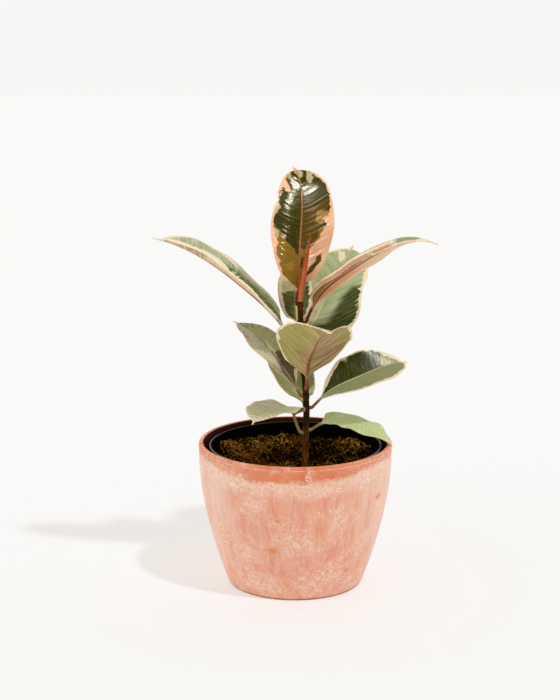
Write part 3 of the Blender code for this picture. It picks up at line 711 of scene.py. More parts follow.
# A leaf leaves the stem at height node, towards side. Lists are stations from base to tip: heading is
# the compass direction, rise the slope, roll the turn about its own line; fold lifts each half and curl
# bends it on. creamLeft and creamRight are the pale margin's width. Each zone is a patch of one tone, as
# corners that count millimetres along the leaf and across it, left of the midrib above zero. The tones
# lie over each other as mid, warm, pale, cream and deep; shade darkens what is deep.
leaves = {
    "leaf_top": dict(
        node=264, side=130, petiole=12, lift=85, heading=[115], rise=[92, 93, 99, 86, 14], roll=[0],
        length=121, width=62, sway=[-1, -2, 0], foldLeft=[30, 17, 18], foldRight=[14, 14, 15], curlLeft=[-38],
        curlRight=[-8], taper=(1.95, 0.56), seed=1, fullLeft=[1, 1, 1.03, 1.04, 1.05],
        fullRight=[0.9, 1, 1, 1.05, 1.25], creamLeft=[3, 3, 3, 4, 2.5, 2, 2, 3, 2],
        creamRight=[5, 6, 5, 5, 6, 4, 2, 2, 2], deep=tint(52, 54, 1), mid=tint(148, 115, 38),
        pale=tint(198, 178, 136), warm=tint(174, 133, 64), cream=tint(255, 208, 170),
        blush=tint(252, 184, 148), blushShare=0.8, rib=tint(196, 112, 66), patches=0.0, streaks=0.05,
        lines=0.05, gloss=(0.15, 0.25), stalk=tint(120, 36, 26), underRib=tint(150, 66, 48), zones=[
            ("mid", [(61, 31), (61, 24), (51, 18), (41, 9), (33, 1), (-3, 0), (-3, 8), (17, 18), (35, 30)]),
            ("warm", [(75, -15), (76, -26), (70, -26), (66, -22), (63, -18), (65, -13), (70, -13)]),
            ("mid", [(61, -24), (60, -19), (57, -17), (52, -17), (47, -14), (43, -12), (43, -16), (50, -20),
                (56, -22)]),
            ("mid", [(39, 0), (38, -7), (30, -7), (22, -5), (8, -5), (-3, 0)]),
            ("warm", [(27, 17), (28, 10), (23, 5), (18, 9), (21, 15)]),
            ("pale", [(110, 14), (112, 8), (107, 7), (100, 9), (106, 12)]),
            ("pale", [(120, 4), (112, 3), (106, 0), (105, -3), (110, -5), (119, -5)]),
            ("pale", [(111, -9), (109, -12), (104, -13), (99, -10), (100, -8), (105, -7)]),
            ("pale", [(93, 34), (92, 28), (88, 25), (83, 24), (79, 25), (75, 28), (76, 34)]),
            ("pale", [(64, 34), (64, 29), (60, 25), (54, 24), (51, 27), (52, 34)]),
            ("cream", [(56, 34), (55, 28), (48, 25), (44, 26), (40, 29), (42, 36)]),
            ("cream", [(83, -27), (77, -26), (71, -26), (68, -20), (65, -22), (62, -25), (60, -21), (56, -21),
                (50, -18), (46, -17), (42, -14), (38, -9), (32, -6), (20, -6), (9, -6), (9, -22), (43, -40),
                (83, -40)]),
            ("cream", [(106, 18), (106, 15), (102, 15), (98, 13), (93, 13), (95, 17), (98, 19), (99, 30),
                (106, 28)]),
            ("cream", [(118, -5), (114, -6), (111, -9), (109, -13), (106, -14), (104, -17), (102, -21),
                (99, -24), (100, -30), (117, -26)]),
            ("deep", [(33, -21), (31, -17), (26, -14), (21, -10), (15, -7), (11, -6), (13, -8), (17, -11),
                (21, -15), (25, -18), (29, -21)]),
            ("deep", [(32, -1), (32, -5), (25, -4), (22, -2)]),
            ("shade", [(82, -2), (84, -27), (38, -12), (38, -1)]),
            ("shade", [(46, -32), (46, -10), (2, 0), (2, -22)])]),
    "leaf_left_long": dict(
        node=226, side=180, petiole=19, lift=56, heading=[181, 181, 165], rise=[54, 42, 38, 26, 8], roll=[8],
        length=150, width=56, foldLeft=[40, 36, 32], foldRight=[28], curlLeft=[-130, -102, -90],
        edgeLeft=[1.6, 2.5, 4], seed=2, creamLeft=[3, 2.6, 2.2, 2, 2, 2.4, 3, 4.5, 8],
        creamRight=[2, 3, 5, 7, 6, 2.5, 1.5, 3.5, 9], deep=tint(86, 98, 28), pucker=0.45,
        mid=tint(184, 194, 156), pale=tint(214, 216, 188), cream=tint(248, 236, 208),
        blush=tint(240, 214, 182), blushShare=0.5, rib=tint(214, 196, 150), patches=0.1, gloss=(0.3, 0.42),
        ragged=1.1, streaks=0.7, under=tint(228, 194, 158), underPale=tint(238, 218, 186),
        underEdge=tint(236, 222, 192), stalk=tint(150, 84, 66), zones=[
            ("cream", [(75, 27), (79, 23), (84, 21), (90, 18), (97, 20), (108, 23), (108, 32), (75, 32)]),
            # painted highlight: this pale strip stands for the gloss along the crest of the rolled half
            ("pale", [(104, 2), (104, 22), (96, 18), (90, 16), (84, 16), (80, 10), (74, 6), (70, 2)]),
            ("cream", [(129, -13), (125, -15), (120, -22), (128, -22)]),
            ("pale", [(119, -18), (112, -22), (108, -4), (113, -2)]),
            ("mid", [(150, 1), (0, 1), (0, -30), (150, -30)]),
            ("mid", [(150, -1), (150, 30), (98, 30), (98, -1)])]),
    "leaf_right_long": dict(
        node=248, side=-10, petiole=16, lift=72, heading=[-32, -15, -13], rise=[62, 38, 34, 19, -20],
        roll=[-18, -26, -18], length=141, width=56, foldLeft=[10], foldRight=[9],
        curlRight=[-140, -130, -150], edgeRight=[4, 3, 4], seed=3, creamLeft=[5, 7, 8, 9, 11, 11, 9, 6, 12],
        creamRight=[0.2, 0.2, 0.2, 0.2, 0.2, 0.4, 1.5, 3, 16], deep=tint(158, 160, 122),
        mid=tint(204, 202, 174), pale=tint(204, 202, 170), warm=tint(190, 148, 104),
        cream=tint(252, 226, 200), blush=tint(252, 204, 176), blushShare=0.9, rib=tint(220, 150, 110),
        patches=0.4, ragged=1.7, gloss=(0.3, 0.42), under=tint(244, 160, 98), underPale=tint(238, 188, 144),
        underMid=tint(236, 206, 170), underRib=tint(170, 72, 56), underEdge=tint(255, 206, 160),
        underShade=tint(134, 106, 66), stalk=tint(84, 20, 16), zones=[
            ("warm", [(-2, -40), (-2, -5), (5, -10), (16, -15), (40, -22), (54, -24), (73, -24), (90, -23),
                (102, -21), (102, -40)]),
            ("cream", [(2, -6), (16, -12.5), (40, -19.5), (54, -21), (73, -21), (90, -20), (104, -17),
                (104, -20), (90, -23), (73, -24), (54, -24), (40, -22.5), (16, -15.5), (2, -9)]),
            ("mid", [(141, 30), (60, 30), (60, -30), (141, -30)]),
            ("deep", [(106, -22), (117, -17), (126, -10), (123, -3), (110, -3)]),
            ("shade", [(-5, -1), (100, -1), (100, -40), (-5, -40)])]),
    "leaf_back_right": dict(
        node=235, side=40, petiole=10, lift=60, heading=[67, 60, 67], rise=[20, 44, 31, 28], roll=[4],
        length=112, width=65, foldLeft=[8], foldRight=[-24, -20, -8, 0, 2, 2, 2, 2], curlRight=[-15],
        fullRight=[1.5, 1.24, 1.0, 0.98, 1], seed=4, creamLeft=[3, 3, 3, 3, 3, 3, 3, 4, 6],
        creamRight=[3, 4, 3, 2, 2.5, 4, 3, 3, 6], deep=tint(54, 62, 2), mid=tint(172, 185, 140),
        pale=tint(208, 208, 178), cream=tint(248, 236, 204), blush=tint(244, 226, 188), blushShare=0.6,
        rib=tint(226, 206, 164), patches=0.0, soft=4.0, ragged=4.0, streaks=0.45, veinLean=0.75,
        gloss=(0.28, 0.4), zones=[
            ("mid", [(-5, 32), (112, 32), (112, -32), (62, -38), (56, -22), (43, -17), (27, -13), (11, -9),
                (-5, -7)]),
            ("cream", [(97, 9), (101, 4), (92, 1), (84, 3), (91, 7)]),
            ("cream", [(70, -25), (75, -30), (72, -36), (68, -36)]),
            ("cream", [(54, -28), (60, -31), (60, -36), (52, -36)]),
            ("pale", [(19, 9), (19, 3), (12, 1), (10, 5)]),
            ("pale", [(34, 0), (22, 1), (22, 7), (33, 8)])]),
    "leaf_back_left": dict(
        node=241, side=120, petiole=5, lift=60, heading=[95, 100], rise=[58, 54, 44], roll=[-8], length=62,
        width=33, foldLeft=[8], foldRight=[12], seed=5, creamLeft=[4, 4, 4, 4, 5], creamRight=[3, 3, 3, 3, 5],
        deep=tint(78, 86, 34), mid=tint(206, 200, 152), pale=tint(226, 222, 180), cream=tint(255, 244, 220),
        patches=0.2, gloss=(0.3, 0.42), zones=[
            ("mid", [(62, 16), (62, -4), (34, -4), (28, 16)])]),
    "leaf_left_mid": dict(
        node=178, side=170, petiole=6, lift=62, heading=[170, 134, 152], rise=[60, 44, 27, 18], roll=[7],
        length=95, width=52, foldLeft=[9], foldRight=[10], seed=6, creamLeft=[2, 1.4, 1.4, 1.4, 1.4, 1.4, 2],
        creamRight=[4, 2, 1.4, 1.4, 1.4, 1.4, 2], deep=tint(92, 78, 30), mid=tint(208, 206, 176),
        pale=tint(176, 174, 128), cream=tint(238, 216, 178), blush=tint(214, 160, 116),
        rib=tint(160, 128, 92), patches=0.0, specks=0.75, soft=4.0, gloss=(0.3, 0.44), zones=[
            ("mid", [(100, -1), (34, -1), (20, 12), (-5, 16), (-5, 30), (100, 30)]),
            ("pale", [(100, -30), (50, -30), (40, -1), (100, -1)]),
            ("cream", [(18, -14), (12, -22), (0, -14), (-2, -1), (8, -8)])]),
    "leaf_front": dict(
        node=186, side=-85, petiole=13, lift=70, heading=[-82, -82, -61], rise=[64, 28, 36, 11], roll=[-6],
        length=114, width=75, foldLeft=[23], foldRight=[26], seed=7, creamLeft=[2, 2, 2.4, 2.4, 2.4, 2.4, 3],
        creamRight=[2, 2, 2.4, 2.4, 2.4, 2.4, 3], cream=tint(246, 234, 200), under=tint(148, 108, 70),
        underPale=tint(210, 184, 138), underEdge=tint(255, 246, 212), underMid=tint(165, 158, 86),
        underRib=tint(150, 92, 68), stalk=tint(156, 88, 66), patches=0.5, veinLean=0.6, ragged=3.6, zones=[
            ("mid", [(2, -36), (90, -38), (118, -14), (112, -2), (80, -1), (56, -5), (36, -11), (10, -12)]),
            ("mid", [(88, 12), (84, 36), (64, 38), (60, 28), (70, 15)])]),
    "leaf_right_mid": dict(
        node=167, side=0, petiole=10, lift=48, heading=[-24, 29, 32], rise=[48, 20, 11, -6], roll=[18],
        length=99, width=59, foldLeft=[9], foldRight=[15], seed=8, creamLeft=[8, 10, 5, 3, 1.5, 1.5, 2, 4, 3],
        creamRight=[2, 1.5, 1.5, 1.5, 3, 4, 2.5, 2, 3], deep=tint(48, 52, 2), mid=tint(142, 150, 102),
        pale=tint(142, 144, 106), cream=tint(250, 230, 194), blush=tint(234, 202, 164),
        rib=tint(206, 190, 140), patches=0.0, streaks=0.12, lines=0.1, grain=0.22, pucker=0.15,
        gloss=(0.22, 0.34), zones=[
            ("mid", [(-5, -1), (100, -1), (100, -34), (-5, -34)]),
            ("pale", [(26, -16), (44, -22), (44, -32), (16, -28)]),
            ("pale", [(96, 14), (96, -1), (72, -1), (70, 4), (82, 20)]),
            ("cream", [(79, 24), (80, 16), (85, 9), (92, 0), (98, 2), (92, 24)])]),
    "leaf_back_low": dict(
        node=167, side=110, petiole=3, lift=60, heading=[119, 105, 108], rise=[41, 30, 22], roll=[6],
        length=82, width=44, foldLeft=[10], foldRight=[7], seed=9, creamLeft=[1.5, 1.5, 1.5, 2, 2],
        creamRight=[1.5, 1.5, 1.5, 2, 2], deep=tint(138, 144, 88), mid=tint(194, 200, 146),
        pale=tint(176, 178, 136), patches=0.3, cream=tint(226, 214, 172), gloss=(0.34, 0.46), zones=[
            ("mid", [(-5, -1), (90, -1), (90, 30), (-5, 30)])]),
    "leaf_low_left": dict(
        node=143, side=200, petiole=18, lift=60, heading=[225, 234, 226], rise=[75, -4, 6, -48], roll=[5],
        length=68, width=48, foldLeft=[3], foldRight=[15], seed=10, creamLeft=[1.5, 1.5, 1.5, 2, 2],
        creamRight=[1.5, 1.5, 1.5, 2, 2], deep=tint(204, 200, 164), mid=tint(222, 224, 186),
        pale=tint(248, 248, 222), patches=0.1, streaks=0.35, lines=0.95, cream=tint(234, 228, 196),
        rib=tint(190, 188, 146), stalk=tint(178, 168, 98), under=tint(150, 150, 96),
        underPale=tint(170, 168, 116), gloss=(0.34, 0.46)),
    "leaf_low_right": dict(
        node=146, side=-20, petiole=10, lift=45, heading=[20, -27, 0], rise=[20, -9, -16, -63], roll=[2],
        length=76, width=38, foldLeft=[55, 30, 5, 0, 0, 0, 0, 0], foldRight=[2],
        fullLeft=[0.7, 0.8, 0.95, 1, 1, 1, 1, 1], seed=12, creamLeft=[1.5, 1.5, 1.5, 2, 2],
        creamRight=[1.5, 1.5, 1.5, 2, 2], deep=tint(196, 217, 150), mid=tint(218, 230, 176),
        pale=tint(234, 239, 200), patches=0.25, lines=0.6, streaks=0.5, cream=tint(230, 226, 180),
        rib=tint(226, 226, 176), stalk=tint(176, 164, 92), gloss=(0.34, 0.46)),
}


def eased(values, t):
    # a smooth curve through evenly spaced values
    values = np.asarray(values, float)
    if len(values) == 1:
        return np.full(len(t), values[0])
    places = np.linspace(0, 1, len(values))
    slope = np.gradient(values, places)
    k = np.clip(np.searchsorted(places, t, side="right") - 1, 0, len(values) - 2)
    step = places[1]
    s = (t - places[k]) / step
    start = (2 * s ** 3 - 3 * s ** 2 + 1) * values[k] + (s ** 3 - 2 * s ** 2 + s) * step * slope[k]
    return start + (3 * s ** 2 - 2 * s ** 3) * values[k + 1] + (s ** 3 - s ** 2) * step * slope[k + 1]


def directions(heading, rise, roll):
    # unit vectors along a leaf, to its left and out of its upper side
    a, e, r = np.radians(heading), np.radians(rise), np.radians(roll)
    forward = np.stack([np.cos(e) * np.cos(a), np.cos(e) * np.sin(a), np.sin(e)], -1)
    level = np.stack([-np.sin(a), np.cos(a), np.zeros(len(a))], -1)
    out = np.stack([-np.sin(e) * np.cos(a), -np.sin(e) * np.sin(a), np.cos(e)], -1)
    cosR, sinR = np.cos(r)[:, None], np.sin(r)[:, None]
    return forward, level * cosR + out * sinR, out * cosR - level * sinR


def halfWidth(t, taper):
    # share of the full half width, with the thin spur that ends the blade
    shown, widest = t / (1 - blade["spur"]), blade["widest"]
    below = np.clip((widest - shown) / widest, 0, 1)
    above = np.clip((shown - widest) / (1 - widest), 0, 1)
    low = np.clip(1 - below ** taper[0], 0, 1) ** taper[1]
    high = np.clip(1 - above ** 2.3, 0, 1) ** 0.62
    spur = 0.05 * (1 - t) / blade["spur"] + 0.012
    return np.maximum(np.where(shown < widest, low, high), np.where(shown > widest, spur, 0))


def walk(start, heading, rise, length):
    forward = directions(heading, rise, np.zeros(len(heading)))[0]
    return start + np.vstack([np.zeros(3), np.cumsum(forward, 0)]) * length / len(heading)


def resample(path, t):
    places = np.linspace(0, 1, len(path))
    return np.stack([np.interp(t, places, column) for column in path.T], -1)


def midSteps():
    return (np.arange(blade["pathSteps"]) + 0.5) / blade["pathSteps"]


def stalkPath(plan):
    # leaves the stem nearly level at its heel, then bends up; gives its points and its heading and rise
    side, steps, b = math.radians(plan["side"]), midSteps(), blade
    sideways = np.array([math.cos(side), math.sin(side), 0])
    root = stemCentre(plan["node"]) + (stemRadius(plan["node"]) + stemPlan["swelling"] + b["gap"]) * sideways
    total = plan["petiole"] + b["heel"]
    heading = plan["side"] + (plan["heading"][0] - plan["side"]) * steps
    climb = plan["lift"] + (plan["rise"][0] - plan["lift"]) * steps
    rise = b["heelRise"] + (climb - b["heelRise"]) * np.clip(steps * total / b["heel"], 0, 1) ** 1.5
    path = walk(root, heading, rise, total)
    path[0] -= b["sunk"] * sideways
    return path, np.stack([heading, rise], -1)


def insideBy(corners, along, across):
    # distance from a patch's outline, above zero inside it
    inside = np.zeros(along.shape, bool)
    nearest = np.full(along.shape, blade["far"])
    for (x0, y0), (x1, y1) in zip(corners, corners[1:] + corners[:1]):
        dx, dy = x1 - x0, y1 - y0
        share = np.clip(((along - x0) * dx + (across - y0) * dy) / (dx * dx + dy * dy), 0, 1)
        nearest = np.minimum(nearest, np.hypot(along - x0 - share * dx, across - y0 - share * dy))
        crosses = (y0 > across) != (y1 > across)
        inside ^= crosses & (along < x0 + dx * (across - y0) / (dy if dy else 1e-9))
    return np.where(inside, nearest, -nearest)


def veinStart(plan, along, away):
    # where on the midrib the side vein through a point starts
    return along - plan.get("veinLean", blade["veinLean"]) * away - blade["veinCurve"] * away ** 2


def bladeHalf(plan, t, sign, hand):
    # from midrib to edge: the upper and the lower skin, each as sideways and upwards, then the place across,
    # the distance from the edge and the share of the width
    b, seed, hill = blade, plan["seed"], np.sin(math.pi * t)
    half = halfWidth(t, plan.get("taper", b["taper"])) * plan["width"] / 2
    half = half * eased(plan.get("full" + hand, [1]), t)
    fold = np.radians(eased(plan["fold" + hand], t))
    curl = np.radians(eased(plan.get("curl" + hand, [0]), t))
    power = eased(plan.get("edge" + hand, [2]), t)
    run = t * plan["length"]
    fine = np.array([noise.noise(Vector((k * b["rippleScale"], sign * 7.3, seed * 3.1))) for k in run])
    wave = b["wave"] * np.sin(fullTurn * (b["waves"] * t + 0.2 * sign)) * hill
    wave = wave + b["ripple"] * fine * hill ** 0.5
    side, up = np.zeros(len(t)), np.zeros(len(t))
    before, found = 0.0, []
    even = np.linspace(0, 1, b["across"] + 1)
    for u in 0.62 * even + 0.38 * even ** 2:
        for step in range(4):
            lean = fold + curl * (before + (u - before) * (step + 0.5) / 4) ** power
            side = side + np.cos(lean) * half * (u - before) / 4
            up = up + np.sin(lean) * half * (u - before) / 4
        before = u
        lean = fold + curl * u ** power
        away = u * half
        thick = (b["thick"] + (b["edgeThick"] - b["thick"]) * u ** 3) / 2
        high = thick - b["groove"] * (1 - b["grooveFade"] * t) * np.exp(-(away / b["grooveWide"]) ** 2)
        midribWide = b["midribWide"][0] - b["midribWide"][1] * t
        low = thick + b["midrib"] * (1 - b["midribFade"] * t) * np.exp(-(away / midribWide) ** 2)
        row = veinStart(plan, run, away)
        rowScale, awayScale = b["bumpScale"]
        bumps = np.array([noise.noise(Vector((r * rowScale, sign * 7.3 + a * awayScale, seed * 1.7)))
                          for r, a in zip(row, away)])
        ribs = 1.27 - 2 * np.abs(np.sin(math.pi * (row / b["veinGap"] + 0.35 * bumps)))
        pucker = (b["pucker"] * bumps - b["ribbed"] * ribs) * plan.get("pucker", 1.0) * hill ** 0.7
        lift = up + wave * u ** 2 + pucker * min(1.0, 4 * u) * min(1.0, 6 * (1 - u))
        found.append((sign * (side - high * np.sin(lean)), lift + high * np.cos(lean),
                      sign * (side + low * np.sin(lean)), lift - low * np.cos(lean),
                      sign * away, (1 - u) * half, np.full(len(t), sign * u)))
    return found


def makeLeaf(name, plan):
    b, length = blade, plan["length"]
    middle, count = b["across"], 2 * b["across"] + 1
    # petiole: round rings, each with the blade's number of points
    path, angles = stalkPath(plan)
    places = np.linspace(0, 1, b["stalkRings"] + 1)[:-1]
    centre = resample(path, places)
    left, out = directions(*resample(angles, places).T, plan["roll"][0] * places)[1:]
    upper = np.radians(10 + 160 * np.arange(count) / (count - 1))
    turns = np.concatenate([upper, upper + math.pi])
    cosK, sinK = np.cos(turns), np.sin(turns)
    radius = b["stalkRadius"] + (b["stalkFoot"] - b["stalkRadius"]) * np.clip(1 - places * 2, 0, 1) ** 2
    spoke = cosK[:, None] * left[:, None] + sinK[:, None] * out[:, None]
    stalk = centre[:, None] + radius[:, None, None] * spoke

    # blade: rings that grow out of the petiole's round into two thin halves
    steps = midSteps()
    path = walk(path[-1], eased(plan["heading"], steps), eased(plan["rise"], steps), length)
    even = np.linspace(0, 1, b["rings"])
    t = 0.55 * even + 0.45 * (0.5 - 0.5 * np.cos(math.pi * even))
    left, out = directions(*(eased(plan[key], t) for key in ("heading", "rise", "roll")))[1:]
    centre = resample(path, t) + left * eased(plan.get("sway", [0]), t)[:, None]
    order = bladeHalf(plan, t, 1, "Left")[::-1] + bladeHalf(plan, t, -1, "Right")[1:]

    def ringOf(above, below):
        return np.stack([row[above] for row in order] + [row[below] for row in reversed(order)], -1)

    def withStalk(stalkValue, column):
        return np.vstack([np.full((len(places), 2 * count), float(stalkValue)), ringOf(column, column)])

    sideways = ringOf(0, 2)
    sideways[:, [middle, 2 * count - 1 - middle]] = 0
    grow = np.clip(t / b["stalkBlend"], 0, 1)[:, None]
    sideways = sideways * grow + b["stalkRadius"] * cosK * (1 - grow)
    upwards = ringOf(1, 3) * grow + b["stalkRadius"] * sinK * (1 - grow)
    skin = centre[:, None] + sideways[..., None] * left[:, None] + upwards[..., None] * out[:, None]
    rings = np.concatenate([stalk, skin])

    across, share = withStalk(0, 4), withStalk(0, 6)
    along = np.concatenate([(places - 1) * (plan["petiole"] + b["heel"]), t * length])[:, None] + across * 0
    edge = np.minimum(withStalk(20, 5), (1.0 - b["spur"]) * length - along + 1.5)
    marks = {"along": along, "across": across, "edge": edge, "vein": veinStart(plan, along, np.abs(across))}
    for tone in ("deep", "mid", "warm", "pale", "cream", "shade"):
        marks[tone] = np.full(across.shape, -b["far"])
        for kind, corners in plan.get("zones", []):
            if kind == tone:
                marks[tone] = np.maximum(marks[tone], insideBy(corners, along, across))
    allT = np.concatenate([places * 0, t])
    creamLeft, creamRight = (eased(plan[key], allT)[:, None] for key in ("creamLeft", "creamRight"))
    marks["cream"] = np.maximum(marks["cream"], np.where(share >= 0, creamLeft, creamRight) - edge)

    total = 2 * count
    sides = [2, 0]
    for ring in range(len(rings) - 1):
        onStalk = ring < b["stalkRings"]
        sides += [2 if onStalk else 0 if k < count or k == total - 1 else 1 for k in range(total)]
    look = {**leafLook, **plan}
    finishes = [finishOf(name, look) for finishOf in (upperFinish, underFinish, stalkFinish)]
    faces = tubeFaces(len(rings), total)
    newPiece(name + "_skin", rings.reshape(-1, 3), faces, finishes, [name], marks, sides)


leafLook = {
    "deep": tint(62, 66, 14), "mid": tint(116, 118, 66), "pale": tint(160, 162, 118),
    "warm": tint(160, 150, 100), "cream": tint(238, 226, 186), "rib": tint(206, 186, 134),
    "blush": tint(232, 190, 146), "blushShare": 0.3,
    "upperShade": tint(94, 72, 6), "speck": tint(84, 50, 38), "specks": 0.0, "lines": 0.08, "streaks": 0.3,
    "patches": 0.5, "ragged": 3.2, "soft": 0.5, "grain": 0.5, "gloss": (0.3, 0.42),
    "under": tint(150, 122, 78), "underPale": tint(182, 152, 104), "underMid": tint(158, 140, 88),
    "underShade": tint(130, 100, 64), "underEdge": tint(240, 224, 182), "underRib": tint(150, 84, 58),
    "stalk": tint(150, 100, 60),
}


def veinCloud(seed, alongScale, acrossScale, detail, rough):
    # a cloud drawn out along the side veins, different in each half of the leaf
    across = field("across")
    hand = add(times(calc("SIGN", across), 9.0), seed)
    at = place(times(field("vein"), alongScale), hand, times(size(across), acrossScale))
    return cloud(at, 1.0, detail, rough)


def veinLines(jag):
    return sine(times(add(field("vein"), times(jag, 5.0)), 1.6))


def ribDistance(length, wide, thin):
    # distance from the midrib, which goes from wide at its base to thin, and ends just before the point
    along = field("along")
    tipEnd = ramp(along, length - 2, length - 12, -0.6, 1.4)
    return take(size(field("across")), calc("MINIMUM", ramp(along, 0.0, length, wide, thin), tipEnd))


def upperFinish(name, p):
    finish = newFinish(name + "_upper", p["gloss"][0], 0.07, (1.0, 0.97, 0.9, 1.0))
    along, across, edge, vein = map(field, ("along", "across", "edge", "vein"))
    seed = p["seed"] * 13.7
    jag = veinCloud(seed, 0.16, 0.05, 4.0, 0.62)
    step = veinCloud(seed + 3.1, 0.7, 0.10, 2.0, 0.5)
    patch = veinCloud(seed + 7.7, 0.11, 0.05, 3.0, 0.55)
    streak = veinCloud(seed + 4.4, 0.30, 0.035, 4.0, 0.6)
    flush = veinCloud(seed + 1.9, 0.06, 0.03, 3.0, 0.5)
    pucker = veinCloud(seed + 5.3, 0.34, 0.05, 3.0, 0.55)
    pores = cloud(place(times(vein, 1.3), times(across, 0.14), seed), 1.0, 3.0, 0.6)
    ragged = add(shifted(jag, 0.5, p["ragged"] * 2.4), shifted(step, 0.5, p["ragged"]))

    def within(tone, soft):
        return ramp(add(field(tone), ragged), -soft, soft)

    level = add(patch, ramp(edge, 16.0, 2.0, 0.0, 0.16))
    least = 0.80 - 0.3 * p["patches"]
    inMid = most(within("mid", p["soft"]), ramp(level, least, least + 0.02))
    inPale = most(within("pale", 0.8), ramp(level, least + 0.12, least + 0.14))
    dark = layers(p["deep"], (within("shade", 7.0), p["upperShade"]))
    margin = layers(
        p["cream"],
        (ramp(flush, 0.36, 0.64, 0.0, p["blushShare"]), p["blush"]),
        (ramp(edge, 1.0, 0.2, 0.0, 0.5), p["blush"]))
    lines, rib = veinLines(jag), ribDistance(p["length"], 1.05, 0.3)
    colour = layers(
        dark,
        (inMid, p["mid"]),
        (within("warm", 0.8), p["warm"]),
        (inPale, p["pale"]),
        (times(ramp(inMid, 0.0, 1.0, 0.3, 1.0), ramp(streak, 0.5, 0.68, 0.0, p["streaks"])), p["pale"]),
        (ramp(streak, 0.5, 0.34, 0.0, p["streaks"] * 0.6), p["deep"]),
        (ramp(pores, 0.38, 0.72, 0.0, 0.16), p["mid"]),
        (within("cream", 0.22), margin),
        (within("deep", 0.3), dark),
        (ramp(rib, 1.5, 0.1, 0.0, 0.3), p["mid"]),
        (ramp(rib, 0.16, -0.14), p["rib"]),
        (ramp(lines, 0.8, 1.0, 0.0, p["lines"]), p["pale"]))
    if p["specks"]:
        at = place(along, across, seed)
        dots = put("TexVoronoi", {"Vector": at, "Scale": 0.33})
        hit = times(ramp(dots, 0.42, 0.26), ramp(cloud(at, 0.05), 0.45, 0.53, 0.0, p["specks"]))
        colour = layers(colour, (hit, p["speck"]))
    height = add(times(lines, 0.08), times(pores, 0.08), times(pucker, 0.4))
    return dress(finish, colour, height, 0.8, p["grain"], ramp(pores, 0.3, 0.7, *p["gloss"]))


def underFinish(name, p):
    finish = newFinish(name + "_under", 0.45, 0.18)
    seed = p["seed"] * 13.7
    jag = veinCloud(seed, 0.16, 0.05, 4.0, 0.62)
    streak = veinCloud(seed + 4.4, 0.42, 0.03, 4.0, 0.62)
    mottle = cloud(place(times(field("vein"), 0.3), times(field("across"), 0.05), seed), 1.0, 4.0, 0.6)
    lines = veinLines(jag)
    drift = add(shifted(mottle, 0.5, 14.0), shifted(streak, 0.5, 26.0))
    ragged = shifted(jag, 0.5, p["ragged"] * 2.0)
    colour = layers(
        p["under"],
        (ramp(mottle, 0.35, 0.66), p["underPale"]),
        (ramp(add(field("mid"), drift), -7.0, 7.0), p["underMid"]),
        (ramp(lines, 0.5, 1.0, 0.0, 0.1), p["underPale"]),
        (ramp(streak, 0.5, 0.66, 0.0, 0.75), p["underPale"]),
        (ramp(streak, 0.5, 0.36, 0.0, 0.45), p["under"]),
        (ramp(add(field("shade"), shifted(mottle, 0.5, 8.0)), -2.0, 4.0, 0.0, 0.8), p["underShade"]),
        (ramp(add(field("cream"), ragged), -0.5, 0.5, 0.0, 0.9), p["underEdge"]),
        (ramp(ribDistance(p["length"], 1.3, 0.2), 0.3, -0.2), p["underRib"]))
    return dress(finish, colour, add(times(lines, 0.4), mottle), 0.2, 0.6)


def stalkFinish(name, p):
    finish = newFinish(name + "_stalk", 0.42, 0.1)
    grain = cloud(millimetres(), 0.5, 3.0, 0.6)
    colour = layers(
        p["stalk"],
        (ramp(grain, 0.3, 0.7, 0.0, 0.5), p["underRib"]),
        (ramp(field("along"), -4.0, 1.0, 0.0, 0.6), p["rib"]))
    return dress(finish, colour, grain, 0.12, 0.5)


makeStem(sorted({plan["node"] for plan in leaves.values()}))
makeSheath()
print("stem and bud sheath made")
for leafName, leafPlan in leaves.items():
    makeLeaf(leafName, leafPlan)
print("leaves made")


# Floor, light and camera

studio = {
    "floorSize": 9.0, "floorColour": (0.46, 0.55, 0.64, 1.0), "floorGlow": (0.52, 0.444, 0.39, 1.0),
    "backdrop": (0.93, 0.93, 0.915, 1.0), "behind": (0.95, 0.94, 0.90, 1.0),
    "front": (0.52, 0.495, 0.42, 1.0), "leftFill": (1.02, 0.99, 0.91, 1.0),
    "ceiling": (0.30, 0.28, 0.22, 1.0), "glossyRoom": 0.45,
    "keyFrom": (0.48, -0.46, 1.0), "keySpread": 4.0, "keyPower": 0.98, "keyColour": (1.0, 0.985, 0.96),
    "sideAt": (1.6, -0.75, 0.95), "sideTarget": (0, 0, 0.2), "sideSize": (0.2, 1.1), "sidePower": 0.3,
    # a soft lamp from the front left that reaches only the top of the plant
    "topAt": (-0.6, -0.9, 0.55), "topTarget": (0.0, 0.0, 0.37), "topCone": 26.0, "topSoft": 0.12,
    "topPower": 11.0,
    # panels seen only as gloss on one leaf: azimuth, height angle, width and height in degrees, brightness
    "panels": [
        ("leaf_top", -8, 30, 11, 30, 215.0), ("leaf_top", -26, -3, 10, 25, 225.0),
        ("leaf_top", -71, 14, 6, 24, 340.0), ("leaf_top", -67, -10, 4, 12, 80.0),
        ("leaf_right_mid", 54, 53, 14, 6, 120.0), ("leaf_right_mid", 30, 38, 10, 5, 380.0)],
    "panelAway": 1.0, "panelMiddle": (0, 0, 0.33),
    "cameraAt": (-0.0143, -1.8, 0.6396), "cameraPitch": 76.94, "lens": 102.8,
}


def makeFloor():
    half = studio["floorSize"] / 2
    mesh = bpy.data.meshes.new("paleFloor")
    corners = [(-half, -half, 0), (half, -half, 0), (half, half, 0), (-half, half, 0)]
    mesh.from_pydata(corners, [], [(0, 1, 2, 3)])
    finish = newFinish("paleFloor", 1.0, 0.0)
    sockets = finish.node_tree.nodes["Principled BSDF"].inputs
    sockets["Base Color"].default_value = studio["floorColour"]
    sockets["Emission Color"].default_value = studio["floorGlow"]
    sockets["Emission Strength"].default_value = 1.0
    mesh.materials.append(finish)
    floor = addObject("paleFloor", mesh)


